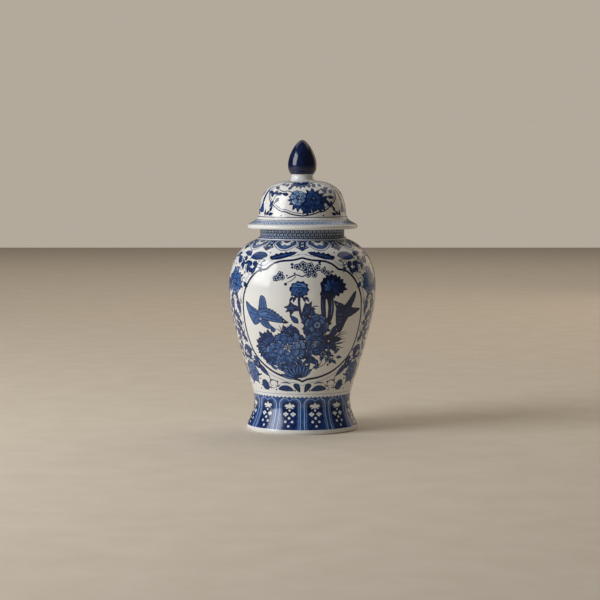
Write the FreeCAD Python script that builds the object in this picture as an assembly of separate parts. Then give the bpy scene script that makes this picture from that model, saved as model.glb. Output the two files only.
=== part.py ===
"""Covered baluster jar (ginger or temple jar) in glazed porcelain, modelled in millimetres with +Z up.

The origin is on the axis at the plane that the foot stands on. Every piece is a turned clay section.
The vessel is four sections, luted one on another: foot_section carries the floor, then lower_body,
upper_body with the shoulder, and neck_ring. The lid is four pieces: lid_dome with its flared brim,
lid_flange, the ring that hangs inside the neck and centres the lid, and finial_collar with the hollow
finial_bud on it, which has a peg in the collar. The lid lifts off the neck's rim and turns on it freely.
"""

import math
import os

import FreeCAD
import Part

# Driving dimensions
OVERALL_HEIGHT = 404.0
WALL = 6.0  # vessel wall
LID_WALL = 5.0

# Heights of the luted seams and seats, from the standing plane
FOOT_SEAM = 54.0
BELLY_SEAM = 154.0
SHOULDER_TOP = 266.5
NECK_RIM = 284.0
COLLAR_SEAT = 347.5
FINIAL_SEAT = 356.2

# Vessel outline, (radius, height), from the foot's edge over waist, belly and shoulder to the neck
FOOT_EDGE = (78.2, 4.5)
VESSEL_OUTLINE = [
    FOOT_EDGE,
    (72.7, 17.0),
    (68.4, 29.0),
    (67.0, 40.0),
    (69.0, FOOT_SEAM),
    (79.0, 88.0),
    (93.4, 138.0),
    (101.6, 178.0),
    (102.8, 202.0),
    (99.4, 226.0),
    (89.1, 247.0),
    (77.0, 259.0),
    (61.5, SHOULDER_TOP),
]
FOOT_STANDING_RADII = (70.5, 76.2)
STANDING_ROUND = 3.5  # height of the round on the standing ring's inner side
STANDING_ROUND_OUT = (77.7, 1.8)  # points half way round its two sides
STANDING_ROUND_IN = (69.1, 1.4)
HOLLOW_MOUTH_RADIUS = 68.5
FLOOR_UNDERSIDE = 12.0
FLOOR_THICKNESS = 7.0
FLOOR_FILLET = 4.0
SHOULDER_INNER_END = (58.2, 261.9)  # where the wall's inner curve stops under the neck

# Neck
NECK_RADIUS = 58.7
NECK_WALL = 5.5
NECK_BEAD_RADIUS = 61.5
NECK_BEAD_HEIGHT = 2.4
NECK_BEAD_CROWN = (61.3, 268.0)
RIM_ROUND = 1.5

# Lid: the dome's outline, (radius, height), from the brim's edge up to the collar's seat
BRIM_RADIUS = 77.2
BRIM_EDGE_LOW = 280.6
BRIM_WIDEST_HEIGHT = 283.4
BRIM_ROUND = 3.0
DOME_OUTLINE = [
    (76.4, 285.9),
    (71.8, 289.0),
    (65.0, 293.2),
    (61.8, 298.5),
    (60.8, 306.0),
    (59.2, 315.0),
    (55.7, 327.0),
    (49.9, 335.5),
    (41.5, 341.7),
    (30.0, 345.8),
    (17.0, COLLAR_SEAT),
]
LEDGE_THICKNESS = 5.5
LEDGE_FILLET = 4.0
UNDERSIDE_RADIUS = 64.0
FLANGE_CLEARANCE = 1.4  # radial, between the flange and the neck's bore
FLANGE_WALL = 4.5
FLANGE_DEPTH = 16.0

# Finial
COLLAR_TOP_RADIUS = 15.2
COLLAR_WAIST = (15.3, 351.4)
COLLAR_FOOT_RADIUS = 17.4
PEG_RADIUS = 7.0
SLIP_GAP = 0.1  # slip layer between the peg and the collar's bore
VENT_RADIUS = 1.5
BUD_WALL = 5.0
BUD_OUTLINE = [
    (16.0, FINIAL_SEAT),
    (18.6, 360.6),
    (19.9, 367.5),
    (19.6, 374.0),
    (18.0, 380.5),
    (14.7, 388.3),
    (9.7, 396.6),
]
TIP_RADIUS = 6.5
TIP_HALF_ANGLE = 48.0
HOLLOW_TOP = 395.0
HOLLOW_FLOOR_ROUND = 2.0
HOLLOW_TIP_RADIUS = 5.0
HOLLOW_TIP_HALF_ANGLE = 45.0

AXIS = FreeCAD.Vector(0, 0, 1)
ORIGIN = FreeCAD.Vector(0, 0, 0)


def at(radius, height):
    """A point of a turned profile, in the XZ plane."""
    return FreeCAD.Vector(radius, 0, height)


def smooth(points):
    """A smooth curve through (radius, height) points."""
    curve = Part.BSplineCurve()
    curve.interpolate([at(*point) for point in points])
    return curve


def inside(curve, points, distance):
    """The points moved towards the axis side of the curve by distance, square to it."""
    moved = []
    for radius, height in points:
        tangent = curve.tangent(curve.parameter(at(radius, height)))[0]
        normal = tangent.cross(FreeCAD.Vector(0, 1, 0))
        if normal.x < 0 or (abs(normal.x) < 0.2 and normal.z < 0):
            normal = normal.negative()
        moved.append((radius - normal.x * distance, height - normal.z * distance))
    return moved


def line(start, end):
    return Part.LineSegment(at(*start), at(*end)).toShape()


def arc(start, through, end):
    return Part.Arc(at(*start), at(*through), at(*end)).toShape()


def cap(top, radius, half_angle):
    """A ball-shaped end on the axis: its edge in the profile, and the point where the edge starts."""
    centre = top - radius
    start, middle = (
        (radius * math.sin(math.radians(angle)), centre + radius * math.cos(math.radians(angle)))
        for angle in (half_angle, half_angle / 2)
    )
    return arc(start, middle, (0.0, top)), start


def turned(edges):
    """The solid that a closed profile sweeps in one turn about the axis."""
    face = Part.Face(Part.Wire(Part.__sortEdges__(edges)))
    return face.revolve(ORIGIN, AXIS, 360)


def tube(inner, outer, low, high):
    """A plain ring between two radii and two heights."""
    height = high - low
    ring = Part.makeCylinder(outer, height, FreeCAD.Vector(0, 0, low), AXIS)
    if inner:
        ring = ring.cut(Part.makeCylinder(inner, height, FreeCAD.Vector(0, 0, low), AXIS))
    return ring


def one_solid(shape):
    return shape.Solids[0] if len(shape.Solids) == 1 else shape


def at_height(curve, height):
    """The parameter where a rising curve passes a height."""
    low, high = curve.FirstParameter, curve.LastParameter
    for _ in range(60):
        middle = (low + high) / 2
        if curve.value(middle).z < height:
            low = middle
        else:
            high = middle
    return (low + high) / 2


def run(curve, low, high):
    """The edge along a rising curve between two heights."""
    return curve.toShape(at_height(curve, low), at_height(curve, high))


def point_on(curve, height):
    """(radius, height) where a rising curve passes a height."""
    return curve.value(at_height(curve, height)).x, height


def vessel_curves():
    """The outer and inner curves of the vessel's wall, from the foot to the shoulder's top."""
    outer = smooth(VESSEL_OUTLINE)
    start = (HOLLOW_MOUTH_RADIUS, STANDING_ROUND)
    inner = smooth([start] + inside(outer, VESSEL_OUTLINE[1:-1], WALL) + [SHOULDER_INNER_END])
    return outer, inner


def foot_section(outer, inner):
    """The flared foot with its standing ring, and the vessel's floor, which closes the hollow under it."""
    standing_in, standing_out = FOOT_STANDING_RADII
    low_in = (standing_in, 0.0)
    low_out = (standing_out, 0.0)
    hollow_foot = point_on(inner, STANDING_ROUND)
    floor_top = FLOOR_UNDERSIDE + FLOOR_THICKNESS
    round_over = FLOOR_FILLET * (1 - 0.5**0.5)
    under = point_on(inner, FLOOR_UNDERSIDE - FLOOR_FILLET)
    over = point_on(inner, floor_top + FLOOR_FILLET)
    under_in = (under[0] - FLOOR_FILLET, FLOOR_UNDERSIDE)
    over_in = (over[0] - FLOOR_FILLET, floor_top)
    return turned([
        arc(low_out, STANDING_ROUND_OUT, FOOT_EDGE),
        run(outer, FOOT_EDGE[1], FOOT_SEAM),
        line(point_on(outer, FOOT_SEAM), point_on(inner, FOOT_SEAM)),
        run(inner, floor_top + FLOOR_FILLET, FOOT_SEAM),
        arc(over, (over[0] - round_over, floor_top + round_over), over_in),
        line(over_in, (0.0, floor_top)),
        line((0.0, floor_top), (0.0, FLOOR_UNDERSIDE)),
        line((0.0, FLOOR_UNDERSIDE), under_in),
        arc(under_in, (under[0] - round_over, FLOOR_UNDERSIDE - round_over), under),
        run(inner, STANDING_ROUND, FLOOR_UNDERSIDE - FLOOR_FILLET),
        arc(hollow_foot, STANDING_ROUND_IN, low_in),
        line(low_in, low_out),
    ])


def wall_section(outer, inner, low, high):
    """A ring of the vessel's wall between two seams."""
    return turned([
        run(outer, low, high),
        line(point_on(outer, high), point_on(inner, high)),
        run(inner, low, high),
        line(point_on(inner, low), point_on(outer, low)),
    ])


def shoulder_section(outer, inner):
    """The upper body, closing in over the shoulder to the flat seat under the neck."""
    seat_in = (NECK_RADIUS - NECK_WALL, SHOULDER_TOP)
    return turned([
        run(outer, BELLY_SEAM, SHOULDER_TOP),
        line(VESSEL_OUTLINE[-1], seat_in),
        line(seat_in, SHOULDER_INNER_END),
        run(inner, BELLY_SEAM, SHOULDER_INNER_END[1]),
        line(point_on(inner, BELLY_SEAM), point_on(outer, BELLY_SEAM)),
    ])


def neck_ring():
    """The short upright neck with a bead at its root and a rounded rim."""
    bore = NECK_RADIUS - NECK_WALL
    bead_top = SHOULDER_TOP + NECK_BEAD_HEIGHT
    rim_out = NECK_RADIUS - RIM_ROUND
    rim_in = bore + RIM_ROUND
    corner = RIM_ROUND * (1 - 0.5**0.5)
    return turned([
        line((bore, SHOULDER_TOP), (NECK_BEAD_RADIUS, SHOULDER_TOP)),
        arc((NECK_BEAD_RADIUS, SHOULDER_TOP), NECK_BEAD_CROWN, (NECK_RADIUS, bead_top)),
        line((NECK_RADIUS, bead_top), (NECK_RADIUS, NECK_RIM - RIM_ROUND)),
        arc((NECK_RADIUS, NECK_RIM - RIM_ROUND), (NECK_RADIUS - corner, NECK_RIM - corner), (rim_out, NECK_RIM)),
        line((rim_out, NECK_RIM), (rim_in, NECK_RIM)),
        arc((rim_in, NECK_RIM), (bore + corner, NECK_RIM - corner), (bore, NECK_RIM - RIM_ROUND)),
        line((bore, NECK_RIM - RIM_ROUND), (bore, SHOULDER_TOP)),
    ])


def lid_flange():
    """The locating ring under the lid's ledge, a little smaller than the neck's bore."""
    outer = NECK_RADIUS - NECK_WALL - FLANGE_CLEARANCE
    ring = tube(outer - FLANGE_WALL, outer, NECK_RIM - FLANGE_DEPTH, NECK_RIM)
    low_edges = [edge for edge in ring.Edges if edge.BoundBox.ZMax < NECK_RIM - FLANGE_DEPTH / 2]
    return one_solid(ring.makeFillet(RIM_ROUND, low_edges))


def lid_dome():
    """The domed shell with its flared brim, and the ledge that rests on the neck's rim."""
    outer = smooth(DOME_OUTLINE)
    inner_points = inside(outer, DOME_OUTLINE[4:-1], LID_WALL)
    crown = (VENT_RADIUS, COLLAR_SEAT - LID_WALL)
    ledge_in = NECK_RADIUS - NECK_WALL - FLANGE_CLEARANCE - FLANGE_WALL
    ledge_top = NECK_RIM + LEDGE_THICKNESS
    inner_foot = (inner_points[0][0], ledge_top + LEDGE_FILLET)
    fillet_end = (inner_foot[0] - LEDGE_FILLET, ledge_top)
    round_over = LEDGE_FILLET * (1 - 0.5**0.5)
    inner = smooth([inner_foot] + inner_points)
    brim_top = DOME_OUTLINE[0]
    underside_out = (BRIM_RADIUS - BRIM_ROUND, BRIM_EDGE_LOW)
    return turned([
        outer.toShape(),
        arc(brim_top, (BRIM_RADIUS, BRIM_WIDEST_HEIGHT), underside_out),
        line(underside_out, (UNDERSIDE_RADIUS, NECK_RIM)),
        line((UNDERSIDE_RADIUS, NECK_RIM), (ledge_in, NECK_RIM)),
        line((ledge_in, NECK_RIM), (ledge_in, ledge_top)),
        line((ledge_in, ledge_top), fillet_end),
        arc(fillet_end, (inner_foot[0] - round_over, ledge_top + round_over), inner_foot),
        inner.toShape(),
        line(inner_points[-1], crown),
        line(crown, (VENT_RADIUS, COLLAR_SEAT)),
        line((VENT_RADIUS, COLLAR_SEAT), DOME_OUTLINE[-1]),
    ])


def finial_collar():
    """The waisted ring between the dome and the bud, bored for the bud's peg."""
    bore = PEG_RADIUS + SLIP_GAP
    foot = (COLLAR_FOOT_RADIUS, COLLAR_SEAT)
    top = (COLLAR_TOP_RADIUS, FINIAL_SEAT)
    return turned([
        arc(foot, COLLAR_WAIST, top),
        line(top, (bore, FINIAL_SEAT)),
        line((bore, FINIAL_SEAT), (bore, COLLAR_SEAT)),
        line((bore, COLLAR_SEAT), foot),
    ])


def finial_bud():
    """The hollow pointed bud, closed but for the vent down its peg."""
    hollow_floor = FINIAL_SEAT + BUD_WALL
    tip, tip_start = cap(OVERALL_HEIGHT, TIP_RADIUS, TIP_HALF_ANGLE)
    hollow_tip, hollow_start = cap(HOLLOW_TOP, HOLLOW_TIP_RADIUS, HOLLOW_TIP_HALF_ANGLE)
    outer = smooth(BUD_OUTLINE + [tip_start])
    inner_points = inside(outer, BUD_OUTLINE[1:-1], BUD_WALL)
    hollow_foot = (inner_points[0][0] - HOLLOW_FLOOR_ROUND, hollow_floor)
    inner = smooth([hollow_foot] + inner_points[1:] + [hollow_start])
    return turned([
        outer.toShape(),
        tip,
        line((0.0, OVERALL_HEIGHT), (0.0, HOLLOW_TOP)),
        hollow_tip,
        inner.toShape(),
        line(hollow_foot, (VENT_RADIUS, hollow_floor)),
        line((VENT_RADIUS, hollow_floor), (VENT_RADIUS, COLLAR_SEAT)),
        line((VENT_RADIUS, COLLAR_SEAT), (PEG_RADIUS, COLLAR_SEAT)),
        line((PEG_RADIUS, COLLAR_SEAT), (PEG_RADIUS, FINIAL_SEAT)),
        line((PEG_RADIUS, FINIAL_SEAT), BUD_OUTLINE[0]),
    ])


def main():
    outer, inner = vessel_curves()
    nodes = {
        "foot_section": foot_section(outer, inner),
        "lower_body": wall_section(outer, inner, FOOT_SEAM, BELLY_SEAM),
        "upper_body": shoulder_section(outer, inner),
        "neck_ring": neck_ring(),
        "lid_flange": lid_flange(),
        "lid_dome": lid_dome(),
        "finial_collar": finial_collar(),
        "finial_bud": finial_bud(),
    }
    os.makedirs("parts", exist_ok=True)
    for name, shape in nodes.items():
        solids = shape.Solids
        print(name, "solids", len(solids), "valid", shape.isValid(), "cm3", round(shape.Volume / 1000, 1))
        shape.exportStep(f"parts/{name}.step")


main()
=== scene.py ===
"""Looks of a covered porcelain jar: white clay sections under a clear glaze, painted in underglaze cobalt.

Each turned section is a few strips laid round the jar's axis by one Geometry Nodes tree. A strip is a flat
drawing, one repeat wide: x is the angle round the jar and y the length along the section's outline, which is
read from the frame. Painted strips are cut along every brush stroke, and each corner carries how much cobalt
lies there. Lengths are in millimetres and angles in degrees, unless a name says otherwise.
"""

import math

import bmesh
import bpy
import numpy as np
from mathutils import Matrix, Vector, kdtree
from mathutils.geometry import delaunay_2d_cdt


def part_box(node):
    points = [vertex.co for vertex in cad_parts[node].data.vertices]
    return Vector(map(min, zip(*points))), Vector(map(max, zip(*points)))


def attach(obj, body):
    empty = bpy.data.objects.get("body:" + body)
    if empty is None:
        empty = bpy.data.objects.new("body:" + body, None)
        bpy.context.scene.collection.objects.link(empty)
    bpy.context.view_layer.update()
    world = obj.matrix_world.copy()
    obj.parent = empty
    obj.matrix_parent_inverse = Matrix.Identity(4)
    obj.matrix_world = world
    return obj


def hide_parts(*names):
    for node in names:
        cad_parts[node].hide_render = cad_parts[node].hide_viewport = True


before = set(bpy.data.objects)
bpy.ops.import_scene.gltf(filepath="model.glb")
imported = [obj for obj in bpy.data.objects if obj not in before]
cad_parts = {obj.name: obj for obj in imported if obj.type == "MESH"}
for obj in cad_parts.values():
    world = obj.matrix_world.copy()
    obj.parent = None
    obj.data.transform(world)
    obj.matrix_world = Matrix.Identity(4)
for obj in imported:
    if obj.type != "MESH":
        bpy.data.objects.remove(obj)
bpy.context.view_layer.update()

MM = 0.001
WELD = 2e-6
SEGMENTS = 180  # straight facets round every section
FOOT_BAND = 4.0  # heights in the drawings count from here, near the top of the foot's rounded edge
COBALT = "cobalt"  # corner attribute: 0 is bare white, 1 is the darkest pigment
TURNED_NORMAL = "turned_normal"


# ---------------------------------------------------------------- outlines, read from the frame


def half_section(names, seams=()):
    """(radius, height) points of the nodes' half section in mm, walked so that the outside goes up."""
    mesh = bmesh.new()
    for name in names:
        mesh.from_mesh(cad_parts[name].data)
    bmesh.ops.remove_doubles(mesh, verts=mesh.verts, dist=WELD)
    hidden = [f for f in mesh.faces if any(all(abs(v.co.z - s) < WELD for v in f.verts) for s in seams)]
    bmesh.ops.delete(mesh, geom=hidden, context="FACES")
    whole = mesh.verts[:] + mesh.edges[:] + mesh.faces[:]
    cut = bmesh.ops.bisect_plane(mesh, geom=whole, dist=WELD / 2, plane_co=(0, 0, 0), plane_no=(0, 1, 0))
    neighbours = {}
    for edge in (g for g in cut["geom_cut"] if isinstance(g, bmesh.types.BMEdge)):
        ends = [(round(v.co.x / MM, 2), round(v.co.z / MM, 2)) for v in edge.verts]
        if min(ends[0][0], ends[1][0]) >= 0 and ends[0] != ends[1] and max(ends[0][0], ends[1][0]) > 0:
            neighbours.setdefault(ends[0], set()).add(ends[1])
            neighbours.setdefault(ends[1], set()).add(ends[0])
    mesh.free()
    tips = [point for point, others in neighbours.items() if len(others) == 1]
    start = min(tips or neighbours, key=lambda point: point[1])
    walk = [start]
    while True:
        onward = [point for point in neighbours[walk[-1]] if point not in walk[-2:]]
        if not onward or onward[0] == start:
            break
        walk.append(onward[0])
    loop = np.array(walk)
    if not tips:
        area = np.sum(loop[:, 0] * np.roll(loop[:, 1], -1) - np.roll(loop[:, 0], -1) * loop[:, 1])
        loop = loop if area > 0 else loop[::-1]
    return loop, not tips


def split_outside(loop, closed):
    """The loop's outer run, from the widest lowest point to the widest highest one, and the rest of it."""
    low, high = loop[:, 1].min(), loop[:, 1].max()
    first = max((i for i in range(len(loop)) if loop[i, 1] < low + 0.01), key=lambda i: loop[i, 0])
    last = max((i for i in range(len(loop)) if loop[i, 1] > high - 0.01), key=lambda i: loop[i, 0])
    if closed:
        loop = np.roll(loop, -first, axis=0)
        last = (last - first) % len(loop)
        return loop[: last + 1], [np.vstack([loop[last:], loop[:1]])]
    return loop[first : last + 1], [loop[: first + 1], loop[last:]]


def thinned(points, tolerance=0.02):
    """The points of a line that its shape needs, to a tolerance."""
    if len(points) < 3:
        return points
    chord = points[-1] - points[0]
    away = points[1:-1] - points[0]
    length = max(np.linalg.norm(chord), 1e-9)
    off = np.abs(chord[0] * away[:, 1] - chord[1] * away[:, 0]) / length
    if np.linalg.norm(chord) < 1e-6:
        off = np.linalg.norm(away, axis=1)
    if off.max() < tolerance:
        return points[[0, -1]]
    middle = off.argmax() + 1
    return np.vstack([thinned(points[: middle + 1], tolerance)[:-1], thinned(points[middle:], tolerance)])


def smooth_runs(points, sharpest=35):
    """A line split wherever it turns sharply."""
    points = thinned(points)
    steps = np.diff(points, axis=0)
    headings = np.degrees(np.arctan2(steps[:, 1], steps[:, 0]))
    turns = np.abs((np.diff(headings) + 180) % 360 - 180)
    corners = [0] + [i + 1 for i, turn in enumerate(turns) if turn > sharpest] + [len(points) - 1]
    return [points[a : b + 1] for a, b in zip(corners, corners[1:])]


def lengths_along(points):
    """The length along a line at each of its points."""
    return np.concatenate([[0.0], np.cumsum(np.linalg.norm(np.diff(points, axis=0), axis=1))])


# ---------------------------------------------------------------- nodes


def add_node(tree, kind, inputs=None, **settings):
    """A new node with its settings, and each input set to a value or linked to an output."""
    made = tree.nodes.new(kind)
    for name, value in settings.items():
        setattr(made, name, value)
    for key, value in (inputs or {}).items():
        if isinstance(value, bpy.types.NodeSocket):
            tree.links.new(value, made.inputs[key])
        else:
            made.inputs[key].default_value = value
    return made


def laying_tree():
    """The tree that repeats a flat strip round the axis and lays it on an outline."""
    tree = bpy.data.node_groups.new("lay strip round the axis", "GeometryNodeTree")
    for name, kind in (
        ("Strip", "NodeSocketGeometry"), ("Outline", "NodeSocketObject"), ("Repeats", "NodeSocketInt"),
        ("First angle", "NodeSocketFloat"), ("Finish", "NodeSocketMaterial"),
    ):
        tree.interface.new_socket(name, in_out="INPUT", socket_type=kind)
    tree.interface.new_socket("Section", in_out="OUTPUT", socket_type="NodeSocketGeometry")
    given = add_node(tree, "NodeGroupInput").outputs

    def maths(operation, *values):
        inputs = dict(enumerate(values))
        return add_node(tree, "ShaderNodeMath", inputs, operation=operation).outputs[0]

    pitch = maths("DIVIDE", 2 * math.pi, given["Repeats"])
    step = add_node(tree, "ShaderNodeCombineXYZ", {"X": pitch}).outputs[0]
    start = add_node(tree, "ShaderNodeCombineXYZ", {"X": given["First angle"]}).outputs[0]
    places = add_node(
        tree, "GeometryNodeMeshLine", {"Count": given["Repeats"], "Start Location": start, "Offset": step}
    )
    copies = add_node(tree, "GeometryNodeInstanceOnPoints",
                      {"Points": places.outputs[0], "Instance": given["Strip"]})
    flat = add_node(tree, "GeometryNodeRealizeInstances", {"Geometry": copies.outputs[0]})

    here = add_node(tree, "GeometryNodeInputPosition").outputs[0]
    place = add_node(tree, "ShaderNodeSeparateXYZ", {0: here})
    outline = add_node(tree, "GeometryNodeObjectInfo", {"Object": given["Outline"]})
    along = add_node(
        tree,
        "GeometryNodeSampleCurve",
        {"Curves": outline.outputs["Geometry"], "Length": place.outputs["Y"]},
        mode="LENGTH",
    )
    point = add_node(tree, "ShaderNodeSeparateXYZ", {0: along.outputs["Position"]}).outputs
    heading = add_node(tree, "ShaderNodeSeparateXYZ", {0: along.outputs["Tangent"]}).outputs
    sine = maths("SINE", place.outputs["X"])
    minus_cosine = maths("MULTIPLY", maths("COSINE", place.outputs["X"]), -1)
    normal = add_node(
        tree,
        "ShaderNodeCombineXYZ",
        {
            "X": maths("MULTIPLY", heading["Z"], sine),
            "Y": maths("MULTIPLY", heading["Z"], minus_cosine),
            "Z": maths("MULTIPLY", heading["X"], -1),
        },
    )
    stored = add_node(
        tree,
        "GeometryNodeStoreNamedAttribute",
        {"Geometry": flat.outputs[0], "Name": TURNED_NORMAL, "Value": normal.outputs[0]},
        data_type="FLOAT_VECTOR",
        domain="CORNER",
    )
    position = add_node(
        tree,
        "ShaderNodeCombineXYZ",
        {
            "X": maths("MULTIPLY", point["X"], sine),
            "Y": maths("MULTIPLY", point["X"], minus_cosine),
            "Z": point["Z"],
        },
    )
    laid = add_node(
        tree, "GeometryNodeSetPosition", {"Geometry": stored.outputs[0], "Position": position.outputs[0]}
    )
    welded = add_node(tree, "GeometryNodeMergeByDistance", {"Geometry": laid.outputs[0], "Distance": WELD})
    smooth = add_node(tree, "GeometryNodeSetShadeSmooth", {"Geometry": welded.outputs[0]})
    whole = add_node(tree, "GeometryNodeRealizeInstances", {"Geometry": smooth.outputs[0]})
    finished = add_node(
        tree, "GeometryNodeSetMaterial", {"Geometry": whole.outputs[0], "Material": given["Finish"]}
    )
    add_node(tree, "NodeGroupOutput", {0: finished.outputs[0]})
    return tree


LAYING = laying_tree()


def lay(strip, outline, repeats, finish, first_angle=0.0):
    """The strip's mesh, repeated round the axis and laid on the outline, as a plain mesh."""
    curve = bpy.data.curves.new("outline", "CURVE")
    curve.dimensions = "3D"
    line = curve.splines.new("POLY")
    line.points.add(len(outline) - 1)
    for point, (radius, height) in zip(line.points, outline):
        point.co = (radius * MM, 0, height * MM, 1)
    guide = bpy.data.objects.new("outline", curve)
    holder = bpy.data.objects.new("strip", strip)
    for helper in (guide, holder):
        bpy.context.scene.collection.objects.link(helper)
    modifier = holder.modifiers.new("lay", "NODES")
    modifier.node_group = LAYING
    sockets = {s.name: s.identifier for s in LAYING.interface.items_tree if s.in_out == "INPUT"}
    modifier[sockets["Outline"]] = guide
    modifier[sockets["Repeats"]] = repeats
    modifier[sockets["First angle"]] = math.radians(first_angle)
    modifier[sockets["Finish"]] = finish
    depsgraph = bpy.context.evaluated_depsgraph_get()
    mesh = bpy.data.meshes.new_from_object(holder.evaluated_get(depsgraph), depsgraph=depsgraph)
    for helper in (guide, holder):
        bpy.data.objects.remove(helper)
    bpy.data.meshes.remove(strip)
    bpy.data.curves.remove(curve)
    return mesh


# ---------------------------------------------------------------- strips and drawings


class Patch:
    """One brush mark: a closed outline in mm, and its tone, a number or a function of x and y."""

    def __init__(self, points, tone):
        self.points = np.asarray(points, float)
        self.tone = tone

    def moved(self, x=0.0, y=0.0, turn=0.0, size=1.0, mirror=False):
        """The mark, mirrored left to right, sized, turned anticlockwise and then moved."""
        cos, sin = size * math.cos(math.radians(turn)), size * math.sin(math.radians(turn))
        flip = -1 if mirror else 1
        matrix = np.array([[cos * flip, -sin], [sin * flip, cos]])
        back = np.linalg.inv(matrix)
        tone = self.tone
        if callable(tone):
            def tone(u, v, old=self.tone):
                return old(
                    back[0, 0] * (u - x) + back[0, 1] * (v - y),
                    back[1, 0] * (u - x) + back[1, 1] * (v - y),
                )
        return Patch(self.points @ matrix.T + (x, y), tone)


def moved(patches, **how):
    """Marks moved together, as Patch.moved does it."""
    return [patch.moved(**how) for patch in patches]


def fade(start, end, first, last):
    """A tone that runs from first to last between two points."""
    start, along = np.array(start, float), np.subtract(end, start)
    span = along @ along

    def tone(x, y):
        share = ((x - start[0]) * along[0] + (y - start[1]) * along[1]) / span
        return first + (last - first) * np.clip(share, 0.0, 1.0)

    return tone


class Strip:
    """A drawing one repeat wide on part of an outline, between two lengths along it."""

    def __init__(self, outline, repeats, low, high, grid=3.2):
        self.outline = outline
        self.lengths = lengths_along(outline)
        self.repeats = repeats
        self.half_angle = math.pi / repeats
        self.low = low
        self.high = high
        self.grid = grid
        self.reference = self.radius(np.linspace(low, high, 30)).max()
        self.patches = []

    def radius(self, length):
        """The outline's radius at a length along it."""
        return np.interp(length, self.lengths, self.outline[:, 0])

    def length_at(self, height):
        """The length along the outline at a drawing's height."""
        return float(np.interp(height + FOOT_BAND, self.outline[:, 1], self.lengths))

    def paint(self, patches, angle=0.0, height=None, length=None, both=False, **how):
        """Adds marks about a place on the wall, given by its angle and its height or length."""
        middle = self.length_at(height) if length is None else length
        for patch in moved(patches, **how):
            self.patches.append((patch, math.radians(angle), middle))
        if both:
            for patch in moved(moved(patches, **how), mirror=True):
                self.patches.append((patch, math.radians(-angle), middle))

    def flat(self, patch, angle, middle):
        """A mark's outline on the flat strip, from its place on the wall."""
        lengths = patch.points[:, 1] + middle
        across = (angle + patch.points[:, 0] / self.radius(lengths)) * self.reference
        return np.column_stack([across, lengths])

    def band(self, low, high, tone):
        """A plain band right across the repeat, between two lengths."""
        edge = self.half_angle * self.reference
        corners = [(-edge, low), (edge, low), (edge, high), (-edge, high)]
        self.patches.append((corners, tone, None))

    def drawn_outlines(self):
        """Every mark's outline on the flat strip, kept within it, with no side longer than a facet."""
        edge = self.half_angle * self.reference
        facet = 2 * edge / (SEGMENTS // self.repeats)
        outlines = []
        for mark, angle, middle in self.patches:
            outline = self.flat(mark, angle, middle) if isinstance(mark, Patch) else np.array(mark, float)
            outline = np.clip(outline, (-edge, self.low), (edge, self.high))
            sides = np.roll(outline, -1, axis=0) - outline
            counts = np.ceil(np.abs(sides[:, 0]) / facet).astype(int).clip(1)
            outlines.append(np.vstack([
                start + side * np.arange(count)[:, None] / count
                for start, side, count in zip(outline, sides, counts)
            ]))
        return outlines

    def border(self):
        """The strip's four sides: its points and the links between them."""
        edge = self.half_angle * self.reference
        across = np.linspace(-edge, edge, SEGMENTS // self.repeats + 1)
        up = np.linspace(self.low, self.high, max(2, round((self.high - self.low) / self.grid)) + 1)
        ring = [(x, self.low) for x in across] + [(edge, y) for y in up[1:]]
        ring += [(x, self.high) for x in across[-2::-1]] + [(-edge, y) for y in up[-2:0:-1]]
        return ring, [(i, (i + 1) % len(ring)) for i in range(len(ring))]

    def filling(self, drawn):
        """Points of an even grid inside the strip that keep clear of the drawn ones."""
        edge = self.half_angle * self.reference
        tree = kdtree.KDTree(len(drawn))
        for i, (x, y) in enumerate(drawn):
            tree.insert((x, y, 0), i)
        tree.balance()
        rows = np.arange(self.low + self.grid * 0.7, self.high - self.grid * 0.6, self.grid * 0.87)
        places = [
            (x, y)
            for j, y in enumerate(rows)
            for x in np.arange(-edge + self.grid * (0.7 + 0.5 * (j % 2)), edge - self.grid * 0.6, self.grid)
        ]
        return [place for place in places if tree.find((*place, 0))[2] > self.grid * 0.6]

    def mesh(self):
        """The strip cut along every visible edge of a mark, as a flat mesh with the cobalt on its corners."""
        outlines = self.drawn_outlines()
        ring, links = self.border()
        points, borders = list(ring), list(links)
        for outline in outlines:
            first, count = len(points), len(outline)
            borders += [(first + i, first + (i + 1) % count) for i in range(count)]
            points += [tuple(p) for p in outline]
        verts, triangles = cut_flat(points, borders)
        owners = topmost(outlines, verts[triangles].mean(axis=1))
        # the second cut leaves out what lies hidden under a later mark
        sides = np.sort(np.vstack([triangles[:, (0, 1)], triangles[:, (1, 2)], triangles[:, (2, 0)]]), axis=1)
        order = np.lexsort(sides.T)
        same = np.all(sides[order][1:] == sides[order][:-1], axis=1)
        beside = np.tile(owners, 3)[order]
        shown = sides[order][:-1][same & (beside[1:] != beside[:-1])]
        used, renamed = np.unique(shown, return_inverse=True)
        points = list(ring) + [tuple(p) for p in verts[used]]
        borders = list(links) + (renamed.reshape(-1, 2) + len(ring)).tolist()
        verts, triangles = cut_flat(points + self.filling(points), borders)
        owners = topmost(outlines, verts[triangles].mean(axis=1))
        values = np.zeros(len(triangles) * 3, np.float32)
        for k in np.unique(owners[owners >= 0]):
            mark, angle, middle = self.patches[k]
            tone = mark.tone if isinstance(mark, Patch) else angle
            held = np.flatnonzero(owners == k)
            if callable(tone):
                at = verts[triangles[held].ravel()]
                tone = tone((at[:, 0] / self.reference - angle) * self.radius(at[:, 1]), at[:, 1] - middle)
            values[(3 * held[:, None] + (0, 1, 2)).ravel()] = tone
        mesh = bpy.data.meshes.new("strip")
        mesh.from_pydata([(x / self.reference, y * MM, 0.0) for x, y in verts], [], triangles.tolist())
        mesh.attributes.new(COBALT, "FLOAT", "CORNER").data.foreach_set("value", values)
        return mesh


def cut_flat(points, borders):
    """Triangles that fill the points' hull and keep every border as an edge."""
    cut = delaunay_2d_cdt([Vector(p) for p in points], borders, [], 0, 1e-4)
    return np.array([tuple(v) for v in cut[0]]), np.array(cut[2])


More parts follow.
